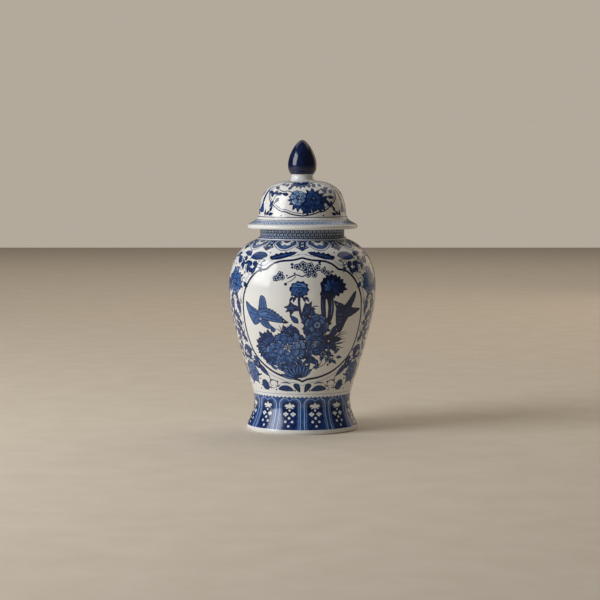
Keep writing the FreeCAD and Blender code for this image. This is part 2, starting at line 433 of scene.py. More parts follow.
def topmost(outlines, places):
    """The last drawn outline that each place lies in, or -1."""
    owners = np.full(len(places), -1)
    for k, outline in enumerate(outlines):
        low, high = outline.min(axis=0), outline.max(axis=0)
        near = np.flatnonzero(np.all((places > low) & (places < high), axis=1))
        owners[near[lies_inside(outline, places[near])]] = k
    return owners


def lies_inside(outline, places):
    """Which places lie inside a closed outline."""
    x, y = places[:, 0, None], places[:, 1, None]
    x0, y0 = outline[:, 0], outline[:, 1]
    x1, y1 = np.roll(x0, -1), np.roll(y0, -1)
    level = y1 == y0
    across = x0 + (y - y0) * (x1 - x0) / np.where(level, 1.0, y1 - y0)
    return (((y0 > y) != (y1 > y)) & (x < across)).sum(axis=1) % 2 == 1


def plain_strip(lengths):
    """A strip one facet wide with a row at each length."""
    half = math.pi / SEGMENTS
    points = [(x, length * MM, 0) for length in lengths for x in (-half, half)]
    faces = [(2 * i, 2 * i + 1, 2 * i + 3, 2 * i + 2) for i in range(len(lengths) - 1)]
    mesh = bpy.data.meshes.new("strip")
    mesh.from_pydata(points, [], faces)
    mesh.attributes.new(COBALT, "FLOAT", "CORNER")
    return mesh


# ---------------------------------------------------------------- brush marks


def line_through(points, steps=4, closed=False):
    """A smooth line through a few points."""
    given = np.asarray(points, float)
    if closed:
        given = np.vstack([given[-1], given, given[:2]])
    else:
        given = np.vstack([2 * given[0] - given[1], given, 2 * given[-1] - given[-2]])
    t = np.linspace(0, 1, steps, endpoint=False)[:, None]
    pieces = [
        0.5 * (2 * b + (c - a) * t + (2 * a - 5 * b + 4 * c - d) * t**2 + (3 * b - a - 3 * c + d) * t**3)
        for a, b, c, d in zip(given, given[1:], given[2:], given[3:])
    ]
    if not closed:
        pieces.append(given[-2:-1])
    return np.vstack(pieces)


def sideways(line):
    """Unit normals to the left of a line."""
    step = np.gradient(line, axis=0)
    step /= np.maximum(np.linalg.norm(step, axis=1), 1e-9)[:, None]
    return np.column_stack([-step[:, 1], step[:, 0]])


def inset(outline, distance):
    """A closed outline moved inwards; a negative distance moves it outwards."""
    x, y = outline.T
    anticlockwise = np.sum(x * np.roll(y, -1) - np.roll(x, -1) * y) > 0
    normals = sideways(np.vstack([outline[-1:], outline, outline[:1]]))[1:-1]
    return outline + normals * (distance if anticlockwise else -distance)


def blob(points, tone, steps=3):
    """A filled shape with a smooth outline."""
    return Patch(line_through(points, steps, closed=True), tone)


def outlined(points, wash, line=0.96, rim=0.8, steps=3):
    """A washed shape inside a dark line."""
    outline = line_through(points, steps, closed=True)
    return [Patch(outline, line), Patch(inset(outline, rim), wash)]


def stroke(points, widths, tone, steps=4, belly=0.5):
    """A brush stroke along a smooth line, with its width at the start, the belly and the end."""
    line = line_through(points, steps)
    t = np.linspace(0, 1, len(line))
    first, middle, last = widths
    rise = np.sin(np.pi / 2 * np.clip(t / belly, 0, 1))
    fall = np.sin(np.pi / 2 * np.clip((1 - t) / (1 - belly), 0, 1))
    half = np.where(t < belly, first + (middle - first) * rise, last + (middle - last) * fall) / 2
    offset = sideways(line) * half[:, None]
    return Patch(np.vstack([line + offset, (line - offset)[::-1]]), tone)


def thin(*points, width=0.9, tone=0.95):
    """A thin line that tapers at both ends."""
    return stroke(points, (width * 0.6, width, width * 0.3), tone)


def dot(x, y, radius, tone=0.9, flat=1.0, sides=8):
    """A round mark with a few sides; flat squashes it."""
    around = np.linspace(0, 2 * np.pi, sides + 1)[:-1]
    return Patch(np.column_stack([x + radius * np.cos(around), y + radius * flat * np.sin(around)]), tone)


def leaf(points, width, rim=0.95, wash=0.72, belly=0.42, vein=True):
    """A pointed leaf along a line: dark at its rim and midrib, with a paler wash between them."""
    line = line_through(points, 3)
    marks = [stroke(points, (0.3, width, 0.2), rim, 4, belly)]
    if wash is not None and width > 3.5:
        inner = line[1:-1]
        marks.append(stroke(inner, (0.2, width - 1.7, 0.1), wash, 2, belly))
        if vein:
            marks.append(stroke(inner, (0.5, 0.8, 0.1), rim, 1, belly))
    return marks


def grown_leaf(length, width, bend=0.0, **kind):
    """A leaf that grows up from the origin, bending to the right by the given distance."""
    return leaf([(0, 0), (bend * 0.35, length * 0.45), (bend, length)], width, **kind)


def broad_leaf(length, width, bend=0.0, rim=0.95, wash=0.7):
    """A broad leaf that grows up from the origin, with pale streaks along it."""
    marks = grown_leaf(length, width, bend, rim=rim, wash=wash, belly=0.5)
    for side in (-0.24, 0.24):
        points = [(side * width * 0.7, length * 0.2), (side * width + bend * 0.35, length * 0.5),
                  (side * width * 0.4 + bend * 0.8, length * 0.84)]
        marks.append(stroke(points, (0.2, 0.9, 0.1), 0.42, 3))
    return marks


def petal_outline(inner, outer, spread, lobes, shrink=0.0):
    """A fan-shaped petal about the origin, pointing up, with a lobed rim."""
    t = np.linspace(-1, 1, 4 * lobes + 1)
    angles = t * math.radians(spread) / 2 * (1 - shrink)
    notch = 0.08 * outer * (1 - np.abs(np.sin(lobes * np.pi * (t + 1) / 2)) ** 0.6)
    rim = (outer - shrink * (outer - inner) * 0.9) * (1 - 0.16 * t**4) - notch
    base = np.linspace(1, -1, 3) * math.radians(spread) / 2 * 0.62 * (1 - shrink)
    foot = inner + shrink * (outer - inner) * 0.5
    radii = np.concatenate([rim, np.full(3, foot)])
    all_angles = np.concatenate([angles, base])
    return np.column_stack([radii * np.sin(all_angles), radii * np.cos(all_angles)])


def petal(inner, outer, spread, lobes, line, wash, edge, turn):
    """One petal: a dark outline, a wash that pales towards the rim, and fine veins."""
    marks = [
        Patch(petal_outline(inner, outer, spread, lobes), line),
        Patch(petal_outline(inner, outer, spread, lobes, 0.16), fade((0, inner), (0, outer), wash, edge)),
    ]
    reach = math.radians(spread) * 0.2
    for way in (-1, 1):
        low, high = inner + 0.25 * (outer - inner), inner + 0.7 * (outer - inner)
        ends = [(low * math.sin(way * reach * 0.7), low * math.cos(way * reach)),
                (high * math.sin(way * reach), high * math.cos(way * reach))]
        marks.append(stroke(ends, (0.6, 0.5, 0.1), line, 1))
    return moved(marks, turn=turn)


def peony(radius, line=0.95, wash=0.74, edge=0.46, rings=3, petals=8, lobes=3, seed=1):
    """A full flower: rings of lobed petals, the inner ones laid over the outer ones."""
    chance = np.random.default_rng(seed)
    marks = []
    for ring in range(rings):
        outer = radius * (1 - 0.29 * ring)
        inner = outer * 0.36
        count = max(4, petals - ring)
        phase = chance.uniform(0, 360)
        for k in range(count):
            size = outer * chance.uniform(0.88, 1.1)
            turn = phase + 360 * k / count + chance.uniform(-8, 8)
            tint = chance.uniform(-0.1, 0.1)
            marks += petal(inner, size, 400 / count, lobes, line, wash + tint, edge + tint, turn)
    marks.append(dot(0, 0, radius * 0.15, line))
    for k in range(5):
        angle = math.tau * k / 5
        x, y = radius * 0.08 * math.cos(angle), radius * 0.08 * math.sin(angle)
        marks.append(dot(x, y, radius * 0.035, 0.2, sides=5))
    return marks


def chrysanthemum(radius, petals=15, line=0.96, wash=0.66, start=0, sweep=360, seed=1, width=1.0):
    """Narrow pointed petals that fan out about the origin, each with a paler heart."""
    chance = np.random.default_rng(seed)
    marks = []
    for k in range(petals):
        turn = start + sweep * (k + 0.5) / petals + chance.uniform(-4, 4)
        reach = radius * chance.uniform(0.86, 1.08)
        across = width * 1.1 * radius * math.radians(sweep) / petals
        tint = chance.uniform(-0.12, 0.12)
        spine = [(0, radius * 0.1), (0, reach * 0.6), (0, reach)]
        heart = [(0, radius * 0.3), (0, reach * 0.86)]
        blade = [
            stroke(spine, (0.3 * across, across, 0.1), line, 3, 0.62),
            stroke(heart, (0.1, across * 0.45, 0.1), wash + tint, 4, 0.6),
        ]
        marks += moved(blade, turn=turn - 90)
    return marks


def plum_blossom(radius, line=0.97, wash=0.2):
    """Five round petals with a pale wash, and a dark heart."""
    marks = []
    for k in range(5):
        angle = math.tau * k / 5 + math.pi / 2
        x, y = 0.58 * radius * math.cos(angle), 0.58 * radius * math.sin(angle)
        marks.append(dot(x, y, 0.5 * radius, line))
        marks.append(dot(x, y, 0.24 * radius, wash, sides=6))
    marks.append(dot(0, 0, 0.26 * radius, line, sides=6))
    return marks


def curl(points, width=1.3, tone=0.85):
    """A curling tendril, thickest in its middle."""
    return [stroke(points, (0.4 * width, width, 0.25 * width), tone)]


def painted_shapes(shapes, lines, wash, line=0.97):
    """Outlined shapes one over another, then thin lines over them all."""
    marks = []
    for points in shapes:
        marks += outlined(points, wash, line, 1.2)
    for points in lines:
        marks.append(stroke(points, (0.5, 1.3, 0.4), line, 3))
    return marks


def flying_bird(wash=0.6):
    """A long-winged bird flying to the right and down, about 65 mm from tail to beak."""
    tail = [(-31.6, 17.3), (-22, 11), (-11.7, 5.3), (-9.2, -3), (-10, -12), (-18.9, -16), (-24, -10),
            (-28.6, -1.3), (-32, 9)]
    raised = [(-10, 2), (-9.5, 9), (-6.2, 24), (-2, 26), (2.5, 22), (4.7, 8.7), (2, 2)]
    lowered = [(-10, -8), (3, -8), (6.2, -13.3), (9.4, -17.3), (6.2, -20.8), (-1.7, -18.6), (-8, -13.5)]
    body = [(-12, 4), (-2, 8.5), (6, 8.7), (15.4, 4.5), (24.2, -2.5), (30.7, -8.7), (28.5, -11.8),
            (15.4, -11), (3, -9), (-8, -6)]
    lines = [
        [(-12, 2), (-20, 6), (-28, 12)], [(-12, -1), (-20, 0), (-28, 2)], [(-12, -4), (-18, -7), (-22, -12)],
        [(-5, 6), (-4.5, 14), (-3, 22)], [(-1, 6), (0, 13), (0, 19)],
        [(-6, -9), (-1, -13), (3, -19)], [(-2, -9), (3, -13), (6, -17)],
        [(-9, 2), (0, 3.5), (9, 2), (19, -3)], [(-9, -1), (2, 0), (12, -2), (23, -7)],
        [(-7, -4), (3, -4.5), (14, -6.5), (24, -9.5)],
    ]
    marks = painted_shapes((tail, lowered, raised, body), lines, wash)
    marks.append(blob([(-9, 0.5), (-2, 2.5), (5, 2), (2, -1), (-6, -2)], 0.5))
    for x, y in ((8, 7.5), (12, 6), (16, 3.6), (20, 0.6), (24, -2.8)):
        marks.append(stroke([(x - 1.5, y - 2.4), (x + 1.8, y + 1.2)], (1.6, 2.0, 0.4), 0.97, 2))
    marks.append(blob([(25, -5), (31.5, -8.7), (34, -10.5), (29, -12.5), (25, -10.5)], 0.99))
    marks.append(dot(27.2, -8.6, 0.8, 0.1, sides=6))
    return marks


def perched_bird(wash=0.92):
    """A dark bird with one wing raised, its tail spread to the right and down, about 57 mm high."""
    raised = [(-1, 6), (6, 14), (15, 24.5), (21.5, 28.6), (21, 21), (17, 12), (13, 5), (6, 1)]
    tail = [(9, 6.5), (20, 5.4), (31.8, 4.2), (28, 0.4), (19.6, -4), (10, -7)]
    head = [(-15.5, 16.5), (-8, 14), (0, 11), (4, 4), (-4, -4), (-9, 0), (-12, 7)]
    body = [(-11, 6), (0, 8.5), (12, 6), (11.5, -5), (6.5, -14), (1.5, -26), (-3.5, -29), (-8, -20),
            (-10.5, -9)]
    lines = [
        [(4, 6), (12, 15), (19, 24)], [(8, 5), (14, 13), (19, 20)], [(12, 3), (20, 2.6), (28, 2.6)],
        [(11, -2), (17, -1), (23, -0.6)], [(-5, -5), (-5, -15), (-4, -25)], [(0, -5), (0, -14), (-1, -24)],
        [(5, -4), (4, -11), (2, -19)], [(-8, 6), (0, 4), (8, 3)], [(-7, 1), (0, 0), (9, -1)],
    ]
    marks = painted_shapes((raised, tail, head, body), lines, wash, 1.0)
    marks.append(dot(-10.4, 11.4, 0.9, 0.2, sides=6))
    for y in (-2, -7, -12):
        marks.append(stroke([(-8, y), (-4, y - 2.2), (0, y)], (0.5, 0.9, 0.4), 0.55, 2))
    return marks


def tall_carnation(line=0.98):
    """A dark serrated flower head over two thick stems with a thin gap between them."""
    marks = [
        stroke([(-10, -12), (-10, -26), (-8.4, -38), (-6, -50)], (8, 7, 3.4), line),
        stroke([(-1, -12), (1.6, -28), (1, -40), (-1, -52)], (10, 8.6, 5), line),
        stroke([(-6.2, -17), (-5, -28), (-4.4, -38)], (0.5, 1.7, 0.6), 0.05),
        stroke([(1.6, -18), (2.8, -28), (2, -40)], (0.5, 1.3, 0.4), 0.45),
        stroke([(-11, -18), (-10.4, -28), (-8.6, -38)], (0.5, 1.0, 0.3), 0.6),
    ]
    head = [
        (-14.6, 5.4), (-11, 8), (-10, 12.4), (-6.6, 12), (-4.6, 16.6), (-1, 14.4), (2.6, 18.2), (5.6, 15),
        (9.4, 17.2), (11, 13), (15.6, 14), (16, 10), (20.8, 9.6), (19.6, 5), (25, 3), (22.4, -1),
        (27.4, -5), (21, -6), (19.4, -10), (14.6, -9.4), (13, -14), (8, -12), (6, -16.4), (1.5, -15),
        (-2, -20), (-6, -16.6), (-10.6, -20.4), (-11.4, -13), (-15.4, -11), (-13, -4),
    ]
    marks.append(Patch(head, line))
    for turn, size, wash in (
        (80, 12, 0.62), (50, 15, 0.58), (20, 17, 0.64), (-12, 18, 0.74), (-42, 18, 0.8), (-72, 17, 0.84),
        (-102, 14, 0.86), (65, 8, 0.66), (28, 10, 0.7), (-8, 10.5, 0.8), (-45, 10, 0.84), (-80, 9, 0.86),
    ):
        marks += moved([stroke([(0, 3), (0, size - 2.2)], (0.8, 3.6, 0.8), wash, 4, 0.66)], x=1, y=-5,
                       turn=turn)
    return marks


def garden_rose(line=0.98):
    """A full rose with folded petals and a jagged outline, paler at the top."""
    marks = [Patch([(-13, 3.6), (-10.4, 5.4), (-10.6, 8.6), (-5, 9.6), (-2.4, 12.4), (2, 10.8), (6, 12),
                    (8, 9), (12, 7.4), (11.4, 3.6), (14, 0), (11.4, -3), (11.6, -7), (7, -8), (4.6, -11.4),
                    (0, -9.8), (-4.6, -11.6), (-7, -8.4), (-11.4, -8), (-11, -3.4), (-13.6, -0.4)], line)]
    folds = (
        ([(-10, 3.6), (-8, 7), (-2.6, 9.6), (3, 9), (8.4, 7), (9.8, 3), (4, 4), (-3, 3.6)], 0.52),
        ([(-11, 1.4), (-6.6, 2.6), (-4, -1), (-5.6, -7), (-9.4, -5.4)], 0.66),
        ([(11, 1.4), (6.4, 2.6), (4, -1), (5.4, -7), (9.6, -5)], 0.74),
        ([(-4.4, 1.8), (0, 3), (4.4, 2), (3, -2), (0, -3.4), (-3, -2)], 0.62),
        ([(-4, -3.4), (-1, -4.8), (-0.8, -8.6), (-4, -8)], 0.7),
        ([(4, -3.4), (1, -4.8), (0.8, -8.6), (3.8, -8)], 0.76),
    )
    marks += [blob(points, wash) for points, wash in folds]
    return marks + [thin((-5, 8), (-1, 6), (4, 6.6), width=1.3),
                    thin((-2, 0.4), (0.6, 1.4), (1.6, -1), width=1.2)]


LEFT_STAR_LEAF = [(-12, 1), (-5.6, 3.4), (-3, 8.8), (2, 4.4), (9, 1.6), (8.4, -4), (2, -5), (-3, -12),
                  (-4.4, -5), (-10, -6), (-6.6, -1.6)]
RIGHT_STAR_LEAF = [(7.4, 14), (2, 10), (-2, 12), (-5, 4), (-7, -6), (-2, -9), (4, -7), (10, -4.4), (7, -1),
                   (13, 3), (7, 6)]


def star_leaf(outline, size=1.0):
    """A leaf with pointed lobes and pale veins from its middle to each point."""
    points = np.array(outline) * size
    marks = [Patch(points, 0.96)]
    for x, y in points[::2]:
        marks.append(stroke([(0, 0), (0.7 * x, 0.7 * y)], (0.5, 0.9, 0.2), 0.6, 2))
    return marks


def grass(blades, tone=0.95, width=1.2):
    """Thin blades that fan up from the origin: pairs of reach across and up."""
    return [stroke([(0, 0), (x * 0.35, y * 0.6), (x, y)], (1.1, width, 0.2), tone) for x, y in blades]


def twig(points, width=1.2, tone=0.95, buds=()):
    """A thin branch with round buds, each given by its place and radius."""
    marks = [stroke(points, (width, width * 0.9, width * 0.4), tone)]
    return marks + [dot(x, y, r, tone, sides=7) for x, y, r in buds]


def leaves(paint, width, bend, rim, wash, places, **how):
    """Leaves of one width, each at an angle, a height, a turn and with a length."""
    for angle, height, turn, length in places:
        paint(grown_leaf(length, width, bend, rim=rim, wash=wash), angle, height, turn=turn, **how)


def fan(paint, angle, height, width, bend, rim, wash, blades):
    """Leaves that grow from one place, each with a turn and a length."""
    leaves(paint, width, bend, rim, wash, [(angle, height, turn, length) for turn, length in blades])


def dots(paint, radius, places):
    """Small dots of one size, each at an angle and a height."""
    for angle, height in places:
        paint([dot(0, 0, radius, sides=6)], angle, height)


# ---------------------------------------------------------------- the belly's drawing


PANEL_TOP = [(0, 241.0), (8, 238), (18, 236.5), (25, 232.5), (30, 225.5)]
PANEL_SIDE = [
    (30, 225.5), (37, 223), (43, 215), (48, 203), (52, 188), (54, 170), (55, 150), (54.5, 130), (52, 113),
    (47, 100), (39, 89), (29, 80), (17, 74), (6, 71.4), (0, 68),
]
PANEL_LINES = ((-5.0, 0.4), (-4.2, 0.0), (0.0, 0.99), (3.1, 0.0))  # inset in mm, tone


def panel_outline(strip):
    """The lobed panel's outline on a strip."""
    half = []
    for corners in (PANEL_TOP, PANEL_SIDE):
        placed = [(math.radians(a) * strip.reference, strip.length_at(z)) for a, z in corners]
        half.append(line_through(placed, 4))
    right = np.vstack([half[0][:-1], half[1][:-1]])
    return np.vstack([right, [half[1][-1]], (right * (-1, 1))[:0:-1]])


def draw_panel_ground(strip):
    """The panel's two outlines with the bare ground inside them."""
    outline = panel_outline(strip)
    for distance, tone in PANEL_LINES:
        strip.patches.append((inset(outline, distance), tone, None))


def draw_panel_scene(strip):
    """The garden in the panel: blossom spray, rose, tall flower, two birds and the peony bank below."""
    paint = strip.paint
    # blossom spray along the top
    paint(twig([(-26, -9), (-14, -4), (-4, -6), (8, 3), (18, 2), (32, -4)], 1.8), 3, 221)
    paint(twig([(-6, 0), (-14, 6), (-18, 8)], 1.4, buds=((-19, 8.5, 2.3), (-15, 5, 1.5))), 3, 223)
    paint(twig([(0, 0), (2, 6), (5, 10)], 1.6, buds=((5.4, 11, 2.2), (1.5, 6, 1.6))), 11, 224)
    paint(twig([(0, 0), (-5, -5), (-13, -9)], 1.2, buds=((-14, -10.5, 2.2),)), -5, 215)
    paint(twig([(0, 0), (5, -6), (12, -8)], 1.2), 16, 221)
    for angle, height, size in (
        (-21, 212, 4.2), (-17.4, 217.5, 4.6), (-19, 213, 4.4), (-15.6, 213.4, 3.8), (-4, 228, 4.6),
        (0.6, 231, 5.0), (2.6, 224, 5.0), (6.4, 229.4, 4.8), (8.6, 222, 4.6), (12, 226, 4.4),
        (4.6, 217.4, 4.2), (9.4, 217, 4.0), (17, 222.4, 4.2), (20.6, 219, 3.8),
    ):
        paint(plum_blossom(size), angle, height, turn=angle * 7)
    for angle, height, radius in (
        (-8, 227, 2.0), (-12.4, 204, 1.5), (24, 221, 1.8), (14.4, 231, 1.7), (-6, 219, 1.4),
        (-12, 216, 1.4), (18, 227, 1.5),
    ):
        paint([dot(0, 0, radius)], angle, height)

    paint(tall_carnation(), 21.7, 201)

    # rose with its stem and lobed leaves
    paint([stroke([(0, 0), (0.4, -12), (3, -26), (9, -42)], (3.4, 3.8, 3.0), 0.97)], -2.6, 187)
    for bend, turn, x in ((-4, 120, -8), (4, 240, 8), (0, 180, 0), (-2, 145, -5), (2, 215, 5)):
        paint(grown_leaf(9, 4, bend, wash=None), -2.4, 188, turn=turn, x=x)
    paint(garden_rose(), -2.4, 197)
    paint(star_leaf(LEFT_STAR_LEAF, 1.05), -7.6, 172.5)
    paint(star_leaf(RIGHT_STAR_LEAF, 1.0), 3.2, 168)
    paint(grown_leaf(17, 8, -2, wash=0.75), -3, 151, turn=40)
    paint(grown_leaf(15, 8, 2, wash=0.75), 1, 150, turn=-10)
    paint(grown_leaf(16, 8, 2, wash=0.75), 9, 158, turn=20)
    paint(curl([(0, 0), (3, 7), (8, 9), (12, 8)], 1.6, 0.95), 6, 166)

    paint(flying_bird(), -30.8, 162.8)
    paint(perched_bird(), 33.4, 165.5)

    # middle peony with a pale heart, among dark leaves
    fan(paint, 12, 147, 9, 0, 0.97, 0.78, (
        (75, 24), (45, 22), (100, 22), (130, 20), (20, 19), (-20, 19), (-55, 22), (-80, 22), (-110, 22),
    ))
    paint(peony(18.5, 0.98, 0.76, 0.46, rings=2, petals=7, lobes=2, seed=8), 12, 148)
    paint([dot(0, 0, 5.4, 0.97, sides=12), dot(0, 0, 4.4, 0.34, sides=12), dot(0, 0, 2.2, 0.8)], 12, 148.6)
    for k in range(7):
        angle = math.tau * k / 7
        paint([dot(3.4 * math.cos(angle), 3.4 * math.sin(angle), 0.6, 0.9, sides=5)], 12, 148.6)

    # dark bank of leaves and half-seen flowers behind the big peony
    for angle, height, turn, length, width in (
        (22, 131, -50, 19, 10), (25, 127, -80, 18, 9), (20, 121, -105, 17, 9), (6, 134, 45, 15, 9),
        (-2, 136, 60, 15, 8), (2, 130, 80, 15, 9), (0, 108, -110, 17, 9), (8, 112, -100, 16, 9),
        (-6, 138, 35, 13, 9), (-10, 139, 0, 12, 8), (-12, 138, 40, 12, 8), (17, 136, 10, 15, 9),
        (25, 136, -20, 15, 8), (6, 104, -130, 16, 8), (21, 112, -120, 14, 8), (26, 120, -130, 14, 7),
    ):
        paint(grown_leaf(length, width, 2, rim=0.97, wash=0.8), angle, height, turn=turn)
    paint(peony(18, 0.98, 0.82, 0.56, rings=3, petals=7, lobes=3, seed=11), 11, 123)
    paint(peony(12, 0.97, 0.8, 0.54, rings=2, petals=6, lobes=2, seed=12), 2.5, 111)
    paint(chrysanthemum(12, 11, 0.97, 0.76, seed=13, width=1.2), 23, 126)

    # big peonies on the left
    paint(chrysanthemum(25, 17, 0.96, 0.72, start=70, sweep=215, seed=6, width=1.15), -30, 117)
    paint(chrysanthemum(18, 13, 0.96, 0.6, start=60, sweep=240, seed=7, width=1.15), -29, 117)
    leaves(paint, 8, 1, 0.96, 0.75, (
        (-26, 104, 130, 16), (-22, 99, 120, 17), (-30, 106, 110, 15), (-24, 138, 20, 9),
    ))
    leaves(paint, 9, 1, 0.97, 0.8, (
        (-6, 104, 160, 18), (-12, 98, 140, 16), (-2, 112, -120, 18), (2, 104, -100, 17), (-16, 92, 110, 14),
        (-8, 92, 60, 13), (2, 96, -60, 15), (-4, 134, 20, 14),
    ))
    paint(peony(27, 0.95, 0.74, 0.44, rings=4, petals=9, lobes=3, seed=21), -13.0, 117)
    paint(peony(14, 0.96, 0.72, 0.42, rings=2, petals=7, lobes=3, seed=22), -24.6, 112)
    paint(star_leaf(LEFT_STAR_LEAF, 0.85), -9.6, 139, turn=-60)
    paint(peony(13, 0.96, 0.74, 0.44, rings=2, petals=7, lobes=2, seed=23), -18, 95.5)
    paint(peony(9, 0.96, 0.76, 0.5, rings=2, petals=6, lobes=2, seed=24), -6, 96)

    # grasses and sprays
    paint(grass(((-9, 7), (-4, 12), (4, 15), (9, 9))), -17, 137)
    paint(grass(((9, 2), (17, 5), (24, 10), (13, 10), (22, 1), (20, 13)), width=1.5), 27, 127)
    paint(grass(((9, -4), (17, -6), (14, 1), (20, 3), (12, -9)), width=1.5), 29, 121)
    leaves(paint, 5.0, 1, 0.93, 0.6, (
        (30, 108, -40, 11), (33, 103, -90, 10), (29, 99, -120, 10), (24, 108, 0, 11), (20, 104, 30, 12),
        (18, 98, 10, 11), (26, 94, -30, 10), (15, 94, 40, 10),
    ))
    paint(twig([(0, 0), (6, 9), (9, 18), (9, 28)], 1.3), 13, 86)
    paint(twig([(0, 0), (9, 5), (17, 12), (26, 16)], 1.2), 14, 88)
    for x, y in ((3, 6), (9, 15), (5, 20), (11, 26), (1, 11), (14, 21), (20, 11), (24, 18), (17, 5)):
        paint([dot(x, y, 1.8, 0.9, sides=6)], 13, 88)
    paint(plum_blossom(5.0, 0.93, 0.35), 19, 108)
    paint(plum_blossom(4.4, 0.93, 0.35), 24, 101)

    # fan of broad leaves at the foot of the bank
    for turn, length, width, bend in (
        (86, 27, 8, 3), (-64, 24, 8, -4), (64, 29, 10, 3), (-44, 27, 10, -3), (42, 28, 10, 2),
        (-24, 28, 10, -2), (20, 26, 10, 1), (-2, 25, 10, 0),
    ):
        paint(broad_leaf(length, width, bend), -4, 74.5, turn=turn)
    for angle, height, turn in ((-29, 92, 70), (-25, 86, 60), (10, 88, -60)):
        paint(grown_leaf(12, 5, 0, rim=0.93, wash=0.6), angle, height, turn=turn)


PLUMP_LEAF = [(-14, 1), (-7, 6.6), (4, 7.4), (12, 3.6), (15, -3), (7, -5.6), (0, -6.2), (-8, -3.6)]
LENS_LEAF = [(-11, -3.4), (-5, 2.8), (2, 4.4), (9, 1.6), (11.6, -2.4), (3, -4.4), (-5, -4.6)]
ROUND_LEAF = [(-5, -6.6), (-6.4, 1), (-2, 7.6), (4.6, 6.6), (6.6, 0), (3, -6.6)]
LONG_LEAF = [
    (-19, 6), (-15.4, 6.4), (-14.6, 9.2), (-11.6, 6.6), (-8.6, 8.6), (-6.6, 5.4), (-2.6, 7.4), (-0.6, 4),
    (4.4, 5.6), (6, 2.6), (11, 3.6), (13, 0.6), (18.6, -1), (19, -4.6), (15, -7), (4, -6), (-6, -2.6),
    (-15, 1.4),
]


